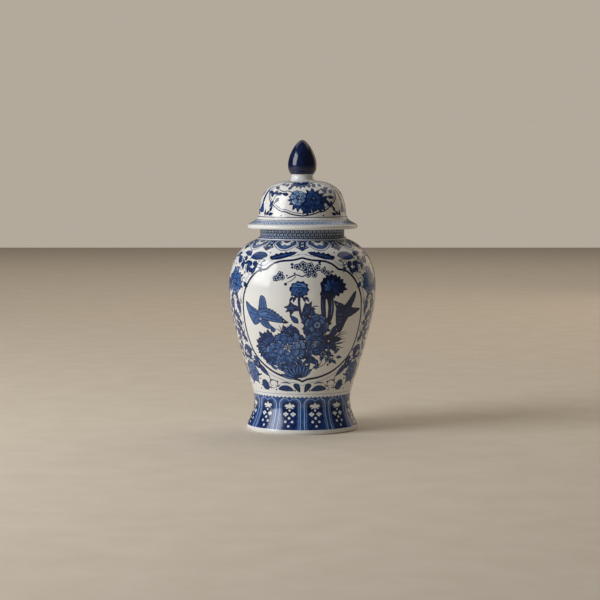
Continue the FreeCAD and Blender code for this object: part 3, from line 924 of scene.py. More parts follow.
def draw_scrolls(strip):
    """The flowers and leaves round the panel, the same on both sides of it."""

    def paint(marks, *place, **how):
        strip.paint(marks, *place, both=True, **how)

    # over the panel
    rib = stroke([(-14, 3.6), (-4, 1.6), (6, -1.4), (15, -4)], (0.5, 2.4, 0.6), 0.74)
    paint([Patch(LONG_LEAF, 0.96), rib], 17.0, 242.4)
    paint(outlined(PLUMP_LEAF, 0.76, 0.96, 1.2), 40.6, 241.2)
    paint([thin((-11, 1), (0, 1.4), (12, -2), width=1.1)], 41, 241.4)
    paint(leaf([(-10, -3), (-1, 2), (10, 2)], 9.5, 0.96, 0.76), 57, 243.6)
    paint(leaf([(-9, -5), (0, 0), (9, 5)], 10, 0.96, 0.76), 66, 236)
    paint(leaf([(9, -5), (0, -1), (-9, 1)], 8.5, 0.96, 0.76), 74, 243)
    paint(leaf([(-6, -4), (2, 0), (8, 4)], 7.5, 0.96, 0.76), 85, 237)
    paint(leaf([(0, -9), (1, 0), (0, 9)], 7.5, 0.96, 0.76), 48.6, 227)
    paint(leaf([(0, -7), (-2, 0), (1, 7)], 5.5, 0.93, None), 41.6, 229)
    paint(leaf([(0, -7), (2, 0), (1, 7)], 5.5, 0.93, 0.7), 55, 228)
    paint(curl([(0, 0), (5, 4), (10, 2), (11, -3), (7, -5)]), 58, 233)
    paint(curl([(0, 0), (-4, -5), (-2, -9), (3, -9)]), 37, 234)
    paint(curl([(-12, -2), (-6, 3), (0, 1), (5, -4)]), 80, 228)
    for angle, height, radius in (
        (30, 246, 1.3), (33, 235, 1.4), (36, 229, 1.2), (50, 237, 1.3), (70, 229, 1.5), (75, 235, 1.2),
        (82, 245, 1.2), (52, 218, 1.4), (5.6, 246.6, 1.2), (3.4, 243.6, 1.0),
    ):
        paint([dot(0, 0, radius, sides=6)], angle, height)

    # flower heads and the small growth round them
    turns = (20, 65, 110, 160, 200, 250, 295, 340)
    fan(paint, 65, 205, 9, 1, 0.93, 0.66, [(turn, 24) for turn in turns])
    paint(peony(20.5, 0.86, 0.7, 0.42, rings=3, petals=8, lobes=3, seed=31), 65, 206)
    paint(chrysanthemum(12, 10, 0.9, 0.6, seed=32, width=1.2), 80, 199)
    for angle, height, turn, size in (
        (82, 216, -10, 13), (86, 206, 20, 12), (80, 184, 200, 12), (87, 190, 170, 11),
    ):
        paint(grown_leaf(size, 5.5, 1.5, rim=0.93, wash=0.66), angle, height, turn=turn)
    for angle, height, turn in ((56, 186, 200), (62, 184, 165), (69, 183, 210), (75, 186, 150)):
        paint(curl([(0, 0), (3, 4), (1, 9), (-4, 9), (-5, 5)], 1.3, 0.9), angle, height, turn=turn)

    # along the panel's side, down to the lower flower
    for angle, height, length, width, turn, bend in (
        (59, 161, 19, 8, 10, 2), (68.5, 165, 15, 7.5, -15, -2), (75, 172, 13, 6.5, 35, 2),
        (60, 156, 21, 9, -65, 4), (69, 152, 19, 9, 130, -4), (76, 160, 17, 7.5, -40, 3),
        (84, 168, 16, 7, 20, 2), (88, 158, 15, 7, 160, -2), (78, 144, 18, 8, -30, 3),
        (86, 142, 15, 7, 40, -2), (60.5, 124, 17, 7.5, 5, 2), (66.6, 124, 18, 8, -12, -2),
        (73, 130, 15, 7.5, 50, 3), (81, 130, 15, 7, -50, 2), (58.6, 118, 15, 7, 175, -2),
        (64, 117, 20, 9, 120, 4), (72, 113, 19, 8.5, -100, -4), (80, 120, 16, 7.5, 160, 2),
        (87, 122, 14, 7, -165, 2), (85, 103, 15, 7, 20, -2), (52, 104, 17, 7.5, 150, 3),
        (56, 98, 13, 6.5, -60, 2),
    ):
        paint(grown_leaf(length, width, bend, rim=0.95, wash=0.74), angle, height, turn=turn)
    for angle, height, turn, mirror in (
        (65, 176, 0, False), (79, 176, 30, True), (58, 142, 10, False), (70, 138, -30, True),
        (88, 150, 60, False), (76, 116, 20, True), (62, 104, -20, False), (70, 103, 40, True),
        (90, 132, 0, False), (80, 106, 70, False),
    ):
        paint(curl([(0, 0), (5, 5), (11, 3), (11, -3), (6, -4)], 1.3, 0.88), angle, height, turn=turn,
              mirror=mirror)
    dots(paint, 1.4, (
        (61, 176), (72, 178), (57, 149), (66, 146), (73, 142), (82, 152), (84, 134), (69, 127), (77, 124),
        (60, 110), (67, 108), (76, 104), (88, 112), (89, 176), (55, 110),
    ))

    # lower flower heads and the leaves between them and the panel
    turns = (0, 45, 100, 150, 205, 260, 310)
    fan(paint, 62, 79, 8, 1, 0.93, 0.7, [(turn, 20) for turn in turns])
    paint(peony(15.5, 0.9, 0.72, 0.46, rings=3, petals=7, lobes=3, seed=41), 62, 80)
    paint(chrysanthemum(12, 11, 0.94, 0.66, seed=43, width=1.2), 82, 84)
    paint(leaf([(10, 10), (2, 1), (-7, -9)], 9, 0.96, 0.78), 41, 83.5)
    paint(leaf([(8, 8), (3, 1), (-3, -5)], 7.5, 0.95, 0.74), 49, 90)
    paint(curl([(0, 0), (5, 4), (9, 1), (8, -4)]), 53, 95)
    paint(grown_leaf(12, 6, 1, rim=0.93, wash=0.7), 76, 68, turn=-20)
    paint(grown_leaf(13, 6, 1, rim=0.93, wash=0.7), 84, 66, turn=10)
    paint(grown_leaf(12, 6, -1, rim=0.93, wash=0.7), 75, 96, turn=15)
    dots(paint, 1.4, ((47, 78), (50, 71), (71, 62), (79, 60), (88, 62), (70, 96), (89, 97)))

    # under the panel: the stem with its leaves, lens leaves, open buds and round leaves
    paint([blob([(1.6, -6.6), (2.2, 4), (8.6, 6.4), (11, 3.4), (8, -2)], 0.96),
           thin((3.4, -3), (5, 2), (8.4, 4), tone=0.6)], 1.2, 60.4)
    paint(outlined(LENS_LEAF, 0.82, 0.96, 0.9), 18, 59.8)
    paint([thin((-8, -2.6), (0, 0), (8, -1), width=1.0)], 18, 59.8)
    paint([stroke([(-6, -0.6), (0, 1.2), (8, 0.4)], (0.8, 2.0, 0.6), 0.93, 3)], 17.4, 66.6)
    paint(curl([(0, 0), (-5, 4), (-5, 10), (1, 13), (6, 9), (5, 4), (1, 5)], 1.3, 0.93), 32, 58.6)
    paint(curl([(0, 0), (6, -1), (9, 4), (6, 9)], 1.3, 0.93), 32.6, 60)
    paint(curl([(0, 0), (-5, -1), (-9, 3)], 1.3, 0.93), 31, 63)
    paint(curl([(0, 0), (4, 4), (3, 9)], 1.3, 0.93), 33, 69)
    paint(outlined(ROUND_LEAF, 0.84, 0.96, 0.9), 44, 63)
    paint([thin((-1.6, -4), (0, 1), (1.4, 5), width=1.0)], 44, 63)
    dots(paint, 1.3, ((27, 62), (27, 69), (36, 70), (37, 60), (50, 62), (53, 57), (8, 56.4), (30, 57)))


def panel_edge(height):
    """The angle of the panel's side at a height."""
    angles, heights = zip(*PANEL_SIDE[::-1])
    return float(np.interp(height, heights, angles))


def draw_vines(strip):
    """Small leaves, curls and dots in rows along the panel's sides, clear of the big flower heads."""
    chance = np.random.default_rng(77)
    heads = ((65, 205, 23), (80, 199, 14), (62, 80, 18), (82, 84, 14))
    for row, height in enumerate(np.arange(92.0, 236.0, 7.5)):
        radius = float(strip.radius(strip.length_at(height)))
        first = 7.5 if row % 2 else 11.0
        for column, away in enumerate(np.arange(first, 60.0, 8.0)):
            angle = panel_edge(height) + math.degrees(away / radius)
            gaps = [math.hypot(math.radians(angle - a) * radius, height - z) - r for a, z, r in heads]
            if angle > 90 or min(gaps) < 0:
                continue
            turn = 35 if column % 2 else -35
            turn += chance.uniform(-25, 25)
            turn += 180 if chance.random() < 0.35 else 0
            kind = (row + 2 * column) % 5
            if kind in (0, 2, 3):
                length, width = chance.uniform(9, 13), chance.uniform(5, 7)
                marks = grown_leaf(length, width, chance.uniform(-2, 2), rim=0.95, wash=0.78)
            elif kind == 1:
                marks = curl([(0, -2), (3, 2), (7, 1), (7, -3), (4, -4)], 1.3, 0.9)
            else:
                marks = [dot(0, 0, 1.5, 0.93, sides=6), *curl([(-4, -3), (-1, 4), (5, 5)], 1.2, 0.88)]
            strip.paint(marks, angle, height, both=True, turn=turn)


def draw_foot_line(strip):
    """A thin line round the belly where the foot begins."""
    strip.band(strip.low + 1.0, strip.low + 1.7, 0.3)


# ---------------------------------------------------------------- the other drawings


def draw_cloud_heads(strip):
    """One cloud head and the two half blocks beside it, under the neck."""
    low, high = strip.low, strip.high
    edge = strip.half_angle * strip.reference
    mm = strip.reference / float(strip.radius((low + high) / 2))
    strip.band(high - 1.6, high, 0.9)
    strip.band(high - 3.6, high - 2.8, 0.8)
    top = high - 3.6

    def at(x, share):
        return edge - x * mm, top - share * (top - low)

    block = [at(0, 0), at(8.6, 0), at(5.0, 0.3), at(4.8, 0.5), at(8.8, 0.7), at(4.4, 0.82), at(0, 0.99)]
    corner = [at(9.6, 0), at(17.0, 0), at(12.4, 0.1), at(9.0, 0.34)]
    shapes = [(block, 0.94), (corner, 0.9)]
    shapes += [([at(0, a), at(2.0, a), at(2.0, a + 0.15), at(0, a + 0.15)], 0.22) for a in (0.2, 0.48)]
    shapes += [([at(3.4, 0.1), at(6.2, 0.1), at(4.6, 0.2)], 0.3),
               ([at(3.2, 0.72), at(6.4, 0.68), at(4.4, 0.6)], 0.3)]
    for side in (-1, 1):
        for points, tone in shapes:
            strip.patches.append((np.array(points) * (side, 1), tone, None))
    reach = strip.half_angle * float(strip.radius((low + high) / 2)) - 5.0
    depth = top - low

    def sweep(r, top_share, d, widths, tone):
        left = [(-0.74 * r, -top_share * depth), (-r, -0.3 * depth)]
        left += [(-0.76 * r, -0.62 * d), (-0.36 * r, -0.88 * d)]
        points = left + [(0, -0.95 * d)] + [(-x, y) for x, y in left[::-1]]
        return stroke(points, widths, tone, 3)

    marks = [sweep(reach, 0.03, depth, (0.9, 1.3, 0.9), 0.8),
             sweep(reach - 2.2, 0.06, depth * 0.88, (0.8, 1.1, 0.8), 0.34),
             sweep(reach - 5.6, 0.14, depth * 0.74, (4.0, 5.6, 4.0), 0.95),
             sweep(reach - 5.6, 0.16, depth * 0.74, (0.8, 1.7, 0.8), 0.62)]
    marks += [dot(x * (reach - 9.4), -0.27 * depth, 3.0, 0.95) for x in (-1, 1)]
    marks += [dot(x * (reach - 9.4), -0.27 * depth, 1.2, 0.3, sides=6) for x in (-1, 1)]
    marks += [blob([(-5.4, -0.6), (0, -0.4), (5.4, -0.6), (3.4, -4.6), (0, -6.2), (-3.4, -4.6)], 0.93),
              blob([(-4, -0.56 * depth), (0, -0.44 * depth), (4, -0.56 * depth), (0, -0.66 * depth)], 0.5),
              dot(0, -0.55 * depth, 1.0, 0.95, sides=6)]
    strip.paint(marks, 0, length=top)


LAPPET_BOTTOM = 2.7
JEWEL_WHITE = 0.04  # the least trace of cobalt


def draw_lappet(strip):
    """One arched panel of the foot's border: white jewels on dark blue."""
    bottom, top = strip.length_at(LAPPET_BOTTOM), strip.high
    tall = top - bottom
    strip.band(bottom, top - 2.2, 0.7)
    half = strip.half_angle * float(strip.radius((bottom + top) / 2))
    marks = []
    # white scallops bite into the upper edge
    for share in (-0.83, -0.5, -0.17, 0.17, 0.5, 0.83):
        marks.append(dot(share * half, -1.6, half * 0.14, 0.0, 0.9))
    marks.append(Patch([(-half * 1.1, 0.1), (half * 1.1, 0.1), (half * 1.1, -1.9), (-half * 1.1, -1.9)], 0.0))
    # paired pale lines between the panels, arching over them
    for x, thick, tone in ((0.88, 1.0, 0.24), (0.74, 0.7, 0.4)):
        for side in (-1, 1):
            shape = [(1.1, -tall - 4), (1.04, -0.8 * tall), (0.95, -0.5 * tall), (0.96, -0.26 * tall),
                     (0.82, -7.6), (0.5, -5.2), (0.2, -6.4), (0.0, -8.6)]
            points = [(side * half * x * share, y) for share, y in shape]
            rib = stroke(points, (thick, thick, thick * 0.6), tone)
            rib.points[:, 1] = np.maximum(rib.points[:, 1], -tall)
            marks.append(rib)
    field = half * 0.62
    left = [(-field * 1.1, -tall), (-field * 1.02, -0.8 * tall), (-field * 0.96, -0.5 * tall),
            (-field * 0.96, -0.28 * tall), (-field * 0.8, -10.2), (-field * 0.4, -8.2)]
    arch = left + [(0, -10.8)] + [(-x, y) for x, y in left[::-1]]
    marks.append(Patch(arch, fade((0, -tall), (0, 0), 0.86, 0.97)))
    strip.paint(marks, 0, length=top)

    def jewel(height, radius, across=0.0):
        strip.paint([dot(across, 0, radius, JEWEL_WHITE)], 0, height=height)

    fleur = [stroke([(0, -3.4), (0, 0.4), (0, 4.6)], (1.0, 4.4, 0.3), JEWEL_WHITE, 4, 0.45)]
    for side in (-1, 1):
        petal_line = [(side * 0.8, -1.2), (side * 3.8, 0.4), (side * 7.2, -0.6)]
        sepal_line = [(side * 0.6, -1.8), (side * 3.0, -2.4), (side * 5.2, -3.6)]
        fleur += [stroke(petal_line, (1.2, 3.6, 0.8), JEWEL_WHITE, 4, 0.6),
                  stroke(sepal_line, (1.0, 2.0, 0.6), JEWEL_WHITE, 4)]
    strip.paint(fleur, 0, height=34.6)
    jewel(28.6, 1.6)
    cluster = [dot(*place, 0.06, sides=7)
               for place in ((-2.2, 0.2, 1.6), (2.2, 0.2, 1.6), (0, 1.7, 1.5), (0, -1.6, 1.7))]
    for x in (-5.2, 5.2):
        strip.paint(moved(cluster, x=x), 0, height=23.4)
        jewel(13.4, 1.9, x * 0.92)
    jewel(18.2, 2.0)
    jewel(7.6, 1.8)


def diaper_bars(strip, low, high, rows, tone, width):
    """Small bent bars in rows across a repeat."""
    half = strip.half_angle * float(strip.radius((low + high) / 2))
    tall = (high - low) / rows
    for row in range(rows):
        middle = low + tall * (row + 0.5)
        flip = 1 if row % 2 else -1
        bars = [
            stroke([(-0.92 * half, -0.3 * tall), (-0.4 * half, 0.26 * tall), (-0.05 * half, 0.26 * tall)],
                   (width, width, width), tone, 1),
            stroke([(0.08 * half, -0.28 * tall), (0.4 * half, -0.28 * tall), (0.92 * half, 0.28 * tall)],
                   (width, width, width), tone, 1),
        ]
        strip.paint(moved(bars, mirror=flip < 0), 0, length=middle)


def draw_neck_fret(strip):
    """The neck's band of broken fret between two lines."""
    strip.band(strip.low, strip.low + 1.0, 0.95)
    # painted shade: the ground under the fret is white, and this grey-blue wash over it stands for the shadow
    # the brim casts on the neck
    strip.band(strip.low + 2.2, strip.high, 0.24)
    diaper_bars(strip, strip.low + 2.6, strip.high - 0.2, 3, 0.98, 1.9)


def draw_brim(strip, low, high):
    """The brim: a plain white edge, a dark line, a fine diaper on the slope and two rings over it."""
    strip.band(low, low + 1.0, 0.9)
    strip.band(low + 1.7, high - 3.4, 0.26)
    diaper_bars(strip, low + 1.9, high - 3.6, 2, 0.8, 1.2)
    strip.band(high - 2.6, high - 1.5, 0.95)


CARTOUCHE = [(0, 294.6), (-13, 296.6), (-22, 300), (-29, 301), (-38, 306), (-48, 313), (-55, 321),
             (-58, 330), (-50, 337.4), (-30, 341.6), (0, 342.6)]
CARTOUCHE_LINES = ((0.0, 0.97), (1.9, 0.0), (3.4, 0.85), (4.4, 0.0))  # inset in mm, tone


def draw_dome(strip):
    """The lid's dome: two cartouches with a flower each, and leaves in the spandrels."""
    strip.band(strip.low + 2.4, strip.low + 3.5, 0.95)
    half = line_through([(math.radians(a) * strip.reference, strip.length_at(z)) for a, z in CARTOUCHE], 4)
    outline = np.vstack([half, (half * (-1, 1))[-2:0:-1]])
    for distance, tone in CARTOUCHE_LINES:
        strip.patches.append((inset(outline, distance), tone, None))
    paint = strip.paint
    # flowers with their pointed leaves
    fan(paint, -5, 318.5, 8, 1, 0.96, 0.74, (
        (205, 19), (180, 19), (228, 18), (155, 18), (250, 17), (125, 16), (100, 16), (80, 15), (20, 13),
        (50, 14),
    ))
    for turn in range(0, 360, 30):
        paint(grown_leaf(18 + 2 * (turn % 60 == 0), 8, 1, rim=0.97, wash=0.8), 15, 318, turn=turn)
    fan(paint, 25, 316, 7.4, 1, 0.97, 0.78, ((150, 17), (180, 17), (205, 16), (-60, 15), (-90, 14)))
    fan(paint, 6, 310, 7, 1, 0.97, 0.78, ((160, 14), (185, 15), (210, 13)))
    paint(peony(11.5, 0.93, 0.5, 0.24, rings=2, petals=7, lobes=2, seed=51), -5.6, 320.5)
    paint(peony(11.5, 0.98, 0.84, 0.62, rings=2, petals=7, lobes=2, seed=52), 15.6, 319.5)
    leaves(paint, 5.8, 0.6, 0.96, 0.76, (
        (34, 326, -30, 12), (38, 321, -90, 12), (37, 326, 30, 11), (34, 316, -140, 12), (31, 335, -20, 11),
        (26, 337, 40, 10), (37, 333, -80, 10), (21, 334, 10, 9), (43, 327, -60, 11), (42, 316, 190, 10),
        (-40, 332, 60, 12), (-38, 328, 110, 10), (-28, 335, 10, 10), (-30, 326, 100, 11),
        (-22, 331, -20, 10), (-46, 321, 30, 12), (-44, 315, 150, 10), (-33, 337, 60, 10),
        (-20, 324, 80, 11), (-34, 320, 140, 10), (-50, 327, 80, 10), (-15, 335, 40, 9), (10, 334, -20, 9),
    ))
    paint(twig([(0, 0), (-7, 3), (-14, 2), (-22, 5), (-28, 2)], 1.5), -14, 327)
    paint(twig([(0, 0), (-5, -5), (-8, -11)], 1.3, buds=((-8, -12, 1.6),)), -36, 326)
    paint(twig([(0, 0), (7, 4), (14, 3), (20, -1)], 1.5), 24, 329)
    for turn in (56, 80, 104, 128, 152, 180, 208, 232, 256, 280, 304):
        paint(grown_leaf(14, 6.4, rim=0.96, wash=0.76), -3, 339.6, turn=turn)
    paint([dot(0, 0, 4.6, 0.95, 0.7), dot(0, 0, 2.4, 0.6, 0.7)], -3, 339.6)
    # spandrels
    paint([blob([(-6, -9.6), (7, -9.6), (5.6, -2), (2.4, 5), (0.6, 12), (-1.8, 4), (-4.6, -2)],
                fade((0, 10), (0, -9), 0.95, 0.72))], 67, 310, both=True)
    paint([stroke([(0, 0), (-1.6, 9), (-3, 18), (-6, 26)], (6.0, 5.4, 1.6), 0.92)], 67, 315, both=True)
    for angle, height, turn in (
        (55, 296, 50), (58, 295, 10), (50, 297, 80), (48, 301, 30), (74, 296, -30), (78, 297, 20),
    ):
        paint(grown_leaf(10, 4.8, rim=0.95, wash=None), angle, height, turn=turn, both=True)
    paint([dot(0, 0, 1.3, sides=6)], 44, 297, both=True)
    paint([dot(0, 0, 1.3, sides=6)], 28, 296, both=True)
    leaves(paint, 5.4, 1, 0.93, 0.7, (
        (83, 304, 10, 14), (86, 318, 0, 14), (79, 322, 30, 12), (84, 331, -20, 10),
    ), both=True)
    paint(curl([(0, 0), (4, 4), (8, 2)], 1.2), 76, 300, both=True)


# ---------------------------------------------------------------- finishes


def srgb(text):
    """A colour from its sRGB hex value, turned to linear."""
    values = [int(text[i : i + 2], 16) / 255 for i in (1, 3, 5)]
    linear = [v / 12.92 if v <= 0.04045 else ((v + 0.055) / 1.055) ** 2.4 for v in values]
    return (*linear, 1.0)


def new_material(name):
    """A new material, its tree, its main shader and the object's own coordinates."""
    material = bpy.data.materials.new(name)
    material.use_nodes = True
    tree = material.node_tree
    shader = next(n for n in tree.nodes if n.type == "BSDF_PRINCIPLED")
    where = add_node(tree, "ShaderNodeTexCoord").outputs["Object"]
    return material, tree, shader, where


def grain(tree, where, size, detail=3.0, rough=0.55):
    """Noise whose blotches are about size millimetres across."""
    settings = {"Vector": where, "Scale": 1 / (size * MM), "Detail": detail, "Roughness": rough}
    return add_node(tree, "ShaderNodeTexNoise", settings).outputs[0]


def ramp(tree, factor, stops):
    """A colour that follows the factor through its stops."""
    made = add_node(tree, "ShaderNodeValToRGB", {0: factor})
    elements = made.color_ramp.elements
    while len(elements) < len(stops):
        elements.new(0.5)
    for element, (place, colour) in zip(elements, stops):
        element.position = place
        element.color = colour
    return made.outputs[0]


PEEL_SHARE = 0.035  # orange peel against the slower waviness
STREAK_SHARE = 0.3  # fine brush streaks against the pigment's pooling


def glaze_bump(tree, where, shader, wave=26.0, height=0.04):
    """The faint waviness and orange peel of a fired glaze, which break up its reflections."""
    wobble = grain(tree, where, wave, 1.0)
    peel = grain(tree, where, 2.4, 2.0)
    sum_inputs = {0: peel, 1: PEEL_SHARE, 2: wobble}
    both = add_node(tree, "ShaderNodeMath", sum_inputs, operation="MULTIPLY_ADD").outputs[0]
    bump = add_node(tree, "ShaderNodeBump", {"Height": both, "Strength": height, "Distance": 0.02})
    tree.links.new(bump.outputs[0], shader.inputs["Normal"])


def painted_porcelain():
    """Underglaze cobalt on white porcelain under a clear glaze, fired: the pigment pools, so that strokes
    are uneven and almost black where they are thick, and the glaze over all of it is smooth and glossy."""
    material, tree, shader, where = new_material("painted_porcelain_clear_glaze")
    pigment = add_node(tree, "ShaderNodeAttribute", attribute_name=COBALT).outputs["Fac"]
    pooling = grain(tree, where, 5.0, 4.0)
    streaks = grain(tree, where, 1.6, 2.0)
    sum_inputs = {0: streaks, 1: STREAK_SHARE, 2: pooling}
    uneven = add_node(tree, "ShaderNodeMath", sum_inputs, operation="MULTIPLY_ADD").outputs[0]
    limits = {"Value": uneven, "From Min": 0.35, "From Max": 0.95, "To Min": 0.78, "To Max": 1.14}
    share = add_node(tree, "ShaderNodeMapRange", limits).outputs[0]
    product = add_node(tree, "ShaderNodeMath", {0: pigment, 1: share}, operation="MULTIPLY", use_clamp=True)
    laid = product.outputs[0]
    colour = ramp(tree, laid, (
        (0.0, srgb("#EFF0EE")), (0.1, srgb("#DDE4EA")), (0.3, srgb("#90ABCF")), (0.5, srgb("#4C76B0")),
        (0.66, srgb("#2C5395")), (0.8, srgb("#193671")), (0.92, srgb("#0F224C")), (1.0, srgb("#091431")),
    ))
    tree.links.new(colour, shader.inputs["Base Color"])
    shader.inputs["Roughness"].default_value = 0.15
    shader.inputs["IOR"].default_value = 1.5
    glaze_bump(tree, where, shader)
    return material


def clear_glaze():
    """White porcelain under a clear glaze: cool where it pools."""
    material, tree, shader, where = new_material("white_porcelain_clear_glaze")
    colour = ramp(tree, grain(tree, where, 14.0, 3.0), ((0.3, srgb("#E4E7E6")), (0.7, srgb("#EFF0ED"))))
    tree.links.new(colour, shader.inputs["Base Color"])
    shader.inputs["Roughness"].default_value = 0.1
    shader.inputs["IOR"].default_value = 1.5
    glaze_bump(tree, where, shader)
    return material


def cobalt_glaze():
    """A dipped deep cobalt glaze: nearly black, a little brighter blue where it runs thin."""
    material, tree, shader, where = new_material("cobalt_blue_glaze")
    colour = ramp(tree, grain(tree, where, 9.0, 4.0), ((0.3, srgb("#08112B")), (0.75, srgb("#142654"))))
    tree.links.new(colour, shader.inputs["Base Color"])
    shader.inputs["Roughness"].default_value = 0.13
    shader.inputs["IOR"].default_value = 1.52
    glaze_bump(tree, where, shader, 30.0, 0.012)
    return material


def bare_porcelain():
    """Unglazed fired porcelain where pieces stand or touch in the kiln: matt, faintly gritty and warmer."""
    material, tree, shader, where = new_material("bare_porcelain_biscuit")
    colour = ramp(tree, grain(tree, where, 3.0, 5.0), ((0.3, srgb("#CFC7B8")), (0.7, srgb("#E0DACD"))))
    tree.links.new(colour, shader.inputs["Base Color"])
    shader.inputs["Roughness"].default_value = 0.62
    bump = add_node(tree, "ShaderNodeBump", {"Height": grain(tree, where, 0.6, 2.0), "Strength": 0.25,
                                              "Distance": 0.0002})
    tree.links.new(bump.outputs[0], shader.inputs["Normal"])
    return material


# ---------------------------------------------------------------- pieces


GARDEN_TOP = 248.0  # heights of the borders between drawings
NECK_BEAD_TOP = 264.6
BRIM_SLOPE = (283.2, 291.0)
NECK_LIP = 2.0  # white edge above the neck's fret
LAPPETS = 12  # repeats round the foot
CLOUD_HEADS = 10
FINE_REPEATS = 60  # repeats of the fret and the diaper

PAINTED = painted_porcelain()
WHITE = clear_glaze()
NAVY = cobalt_glaze()
BARE = bare_porcelain()


def build_piece(name, meshes):
    """One closed piece from its laid strips, with the turned normals on its corners."""
    joined = bmesh.new()
    finishes = []
    for mesh in meshes:
        finish = mesh.materials[-1]
        if finish not in finishes:
            finishes.append(finish)
        before = len(joined.faces)
        joined.from_mesh(mesh)
        joined.faces.ensure_lookup_table()
        for face in joined.faces[before:]:
            face.material_index = finishes.index(finish)
        bpy.data.meshes.remove(mesh)
    bmesh.ops.remove_doubles(joined, verts=joined.verts, dist=20 * WELD)
    bmesh.ops.triangulate(joined, faces=joined.faces)
    whole = bpy.data.meshes.new(name)
    joined.to_mesh(whole)
    joined.free()
    for finish in finishes:
        whole.materials.append(finish)
    stored = whole.attributes[TURNED_NORMAL]
    normals = np.zeros(3 * len(whole.loops), np.float32)
    stored.data.foreach_get("vector", normals)
    whole.attributes.remove(stored)
    whole.normals_split_custom_set(normals.reshape(-1, 3).tolist())
    piece = bpy.data.objects.new(name, whole)
    bpy.context.scene.collection.objects.link(piece)
    return piece


def plain_runs(lines, finish, bare=()):
    """Laid strips for a section's unpainted parts. A flat run at a bare height is unglazed."""
    meshes = []
    for line in lines:
        for run in smooth_runs(line):
            level = run[:, 1].max() - run[:, 1].min() < 0.3
            unglazed = level and any(abs(run[:, 1].mean() - height) < 0.5 for height in bare)
            strip = plain_strip(lengths_along(run))
            meshes.append(lay(strip, run, SEGMENTS, BARE if unglazed else finish))
    return meshes


def lay_drawing(strip, first_angle=None):
    """The drawing laid round its section, from half a repeat off the front unless an angle is given."""
    angle = 180 / strip.repeats if first_angle is None else first_angle
    return lay(strip.mesh(), strip.outline, strip.repeats, PAINTED, angle)


def foot_piece():
    """The foot: jewelled panels outside, white glaze beneath and bare clay where it stands."""
    low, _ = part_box("foot_section")
    outside, rest = split_outside(*half_section(["foot_section"]))
    strip = Strip(outside, LAPPETS, 0.0, lengths_along(outside)[-1], grid=2.6)
    draw_lappet(strip)
    meshes = [lay_drawing(strip)] + plain_runs(rest, WHITE, bare=[low.z / MM])
    return build_piece("painted_foot", meshes)


def belly_piece():
    """The body from foot to neck: the garden and its scrolls, then the cloud heads, with a white inside."""
    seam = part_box("lower_body")[1].z
    outside, rest = split_outside(*half_section(["lower_body", "upper_body"], [seam]))
    total = lengths_along(outside)[-1]
    whole = Strip(outside, 2, 0.0, total)
    border = whole.length_at(GARDEN_TOP)
    garden = Strip(outside, 2, 0.0, border, grid=5.0)
    draw_panel_ground(garden)
    draw_vines(garden)
    draw_scrolls(garden)
    draw_panel_scene(garden)
    draw_foot_line(garden)
    clouds = Strip(outside, CLOUD_HEADS, border, total, grid=1.8)
    draw_cloud_heads(clouds)
    meshes = [lay_drawing(garden, 0), lay_drawing(clouds)] + plain_runs(rest, WHITE)
    return build_piece("painted_belly", meshes)


def neck_piece():
    """The neck: a dark bead, the fret and a white lip, with bare clay where the lid rests."""
    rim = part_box("neck_ring")[1].z / MM
    outside, rest = split_outside(*half_section(["neck_ring"]))
    total = lengths_along(outside)[-1]
    whole = Strip(outside, FINE_REPEATS, 0.0, total)
    split = whole.length_at(NECK_BEAD_TOP)
    top = whole.length_at(rim - FOOT_BAND - NECK_LIP)
    bead = Strip(outside, FINE_REPEATS, 0.0, split, grid=1.0)
    bead.band(split * 0.45, split, 0.75)
    fret = Strip(outside, FINE_REPEATS, split, top, grid=1.6)
    draw_neck_fret(fret)
    lip = Strip(outside, FINE_REPEATS, top, total, grid=1.0)
    meshes = [lay_drawing(strip) for strip in (bead, fret, lip)]
    return build_piece("painted_neck", meshes + plain_runs(rest, WHITE, bare=[rim]))


def dome_piece():
    """The lid: brim and dome, with bare clay where the locating ring is joined."""
    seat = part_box("lid_flange")[1].z / MM
    outside, rest = split_outside(*half_section(["lid_dome"]))
    total = lengths_along(outside)[-1]
    whole = Strip(outside, FINE_REPEATS, 0.0, total)
    slope_low, slope_high = (whole.length_at(height) for height in BRIM_SLOPE)
    brim = Strip(outside, FINE_REPEATS, 0.0, slope_high, grid=1.6)
    draw_brim(brim, slope_low, slope_high)
    crown = Strip(outside, 2, slope_high, total, grid=2.4)
    draw_dome(crown)
    meshes = [lay_drawing(brim), lay_drawing(crown, 0)] + plain_runs(rest, WHITE, bare=[seat])
    return build_piece("painted_lid", meshes)


def plain_piece(name, node, finish, bare=()):
    """A turned piece with no painting."""
    loop, closed = half_section([node])
    lines = [np.vstack([loop, loop[:1]])] if closed else [loop]
    return build_piece(name, plain_runs(lines, finish, bare))


def dress():
    """Makes every piece, hides the nodes it stands in for and lets it ride on its body."""
    made = (
        (foot_piece(), "jar", "painted_porcelain", ["foot_section"]),
        (belly_piece(), "jar", "painted_porcelain", ["lower_body", "upper_body"]),
        (neck_piece(), "jar", "painted_porcelain", ["neck_ring"]),
        (dome_piece(), "lid", "painted_porcelain", ["lid_dome"]),
        (plain_piece("locating_ring", "lid_flange", BARE), "lid_ring", "bare_porcelain", ["lid_flange"]),
        (plain_piece("knob_collar", "finial_collar", WHITE), "lid", "white_glaze", ["finial_collar"]),
        (plain_piece("bud_knob", "finial_bud", NAVY), "lid", "cobalt_glaze", ["finial_bud"]),
    )
    for piece, body, slot, nodes in made:
        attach(piece, body)
        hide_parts(*nodes)


# ---------------------------------------------------------------- stage, light and camera


FLOOR_REACH = 6.0  # metres from the middle to a side


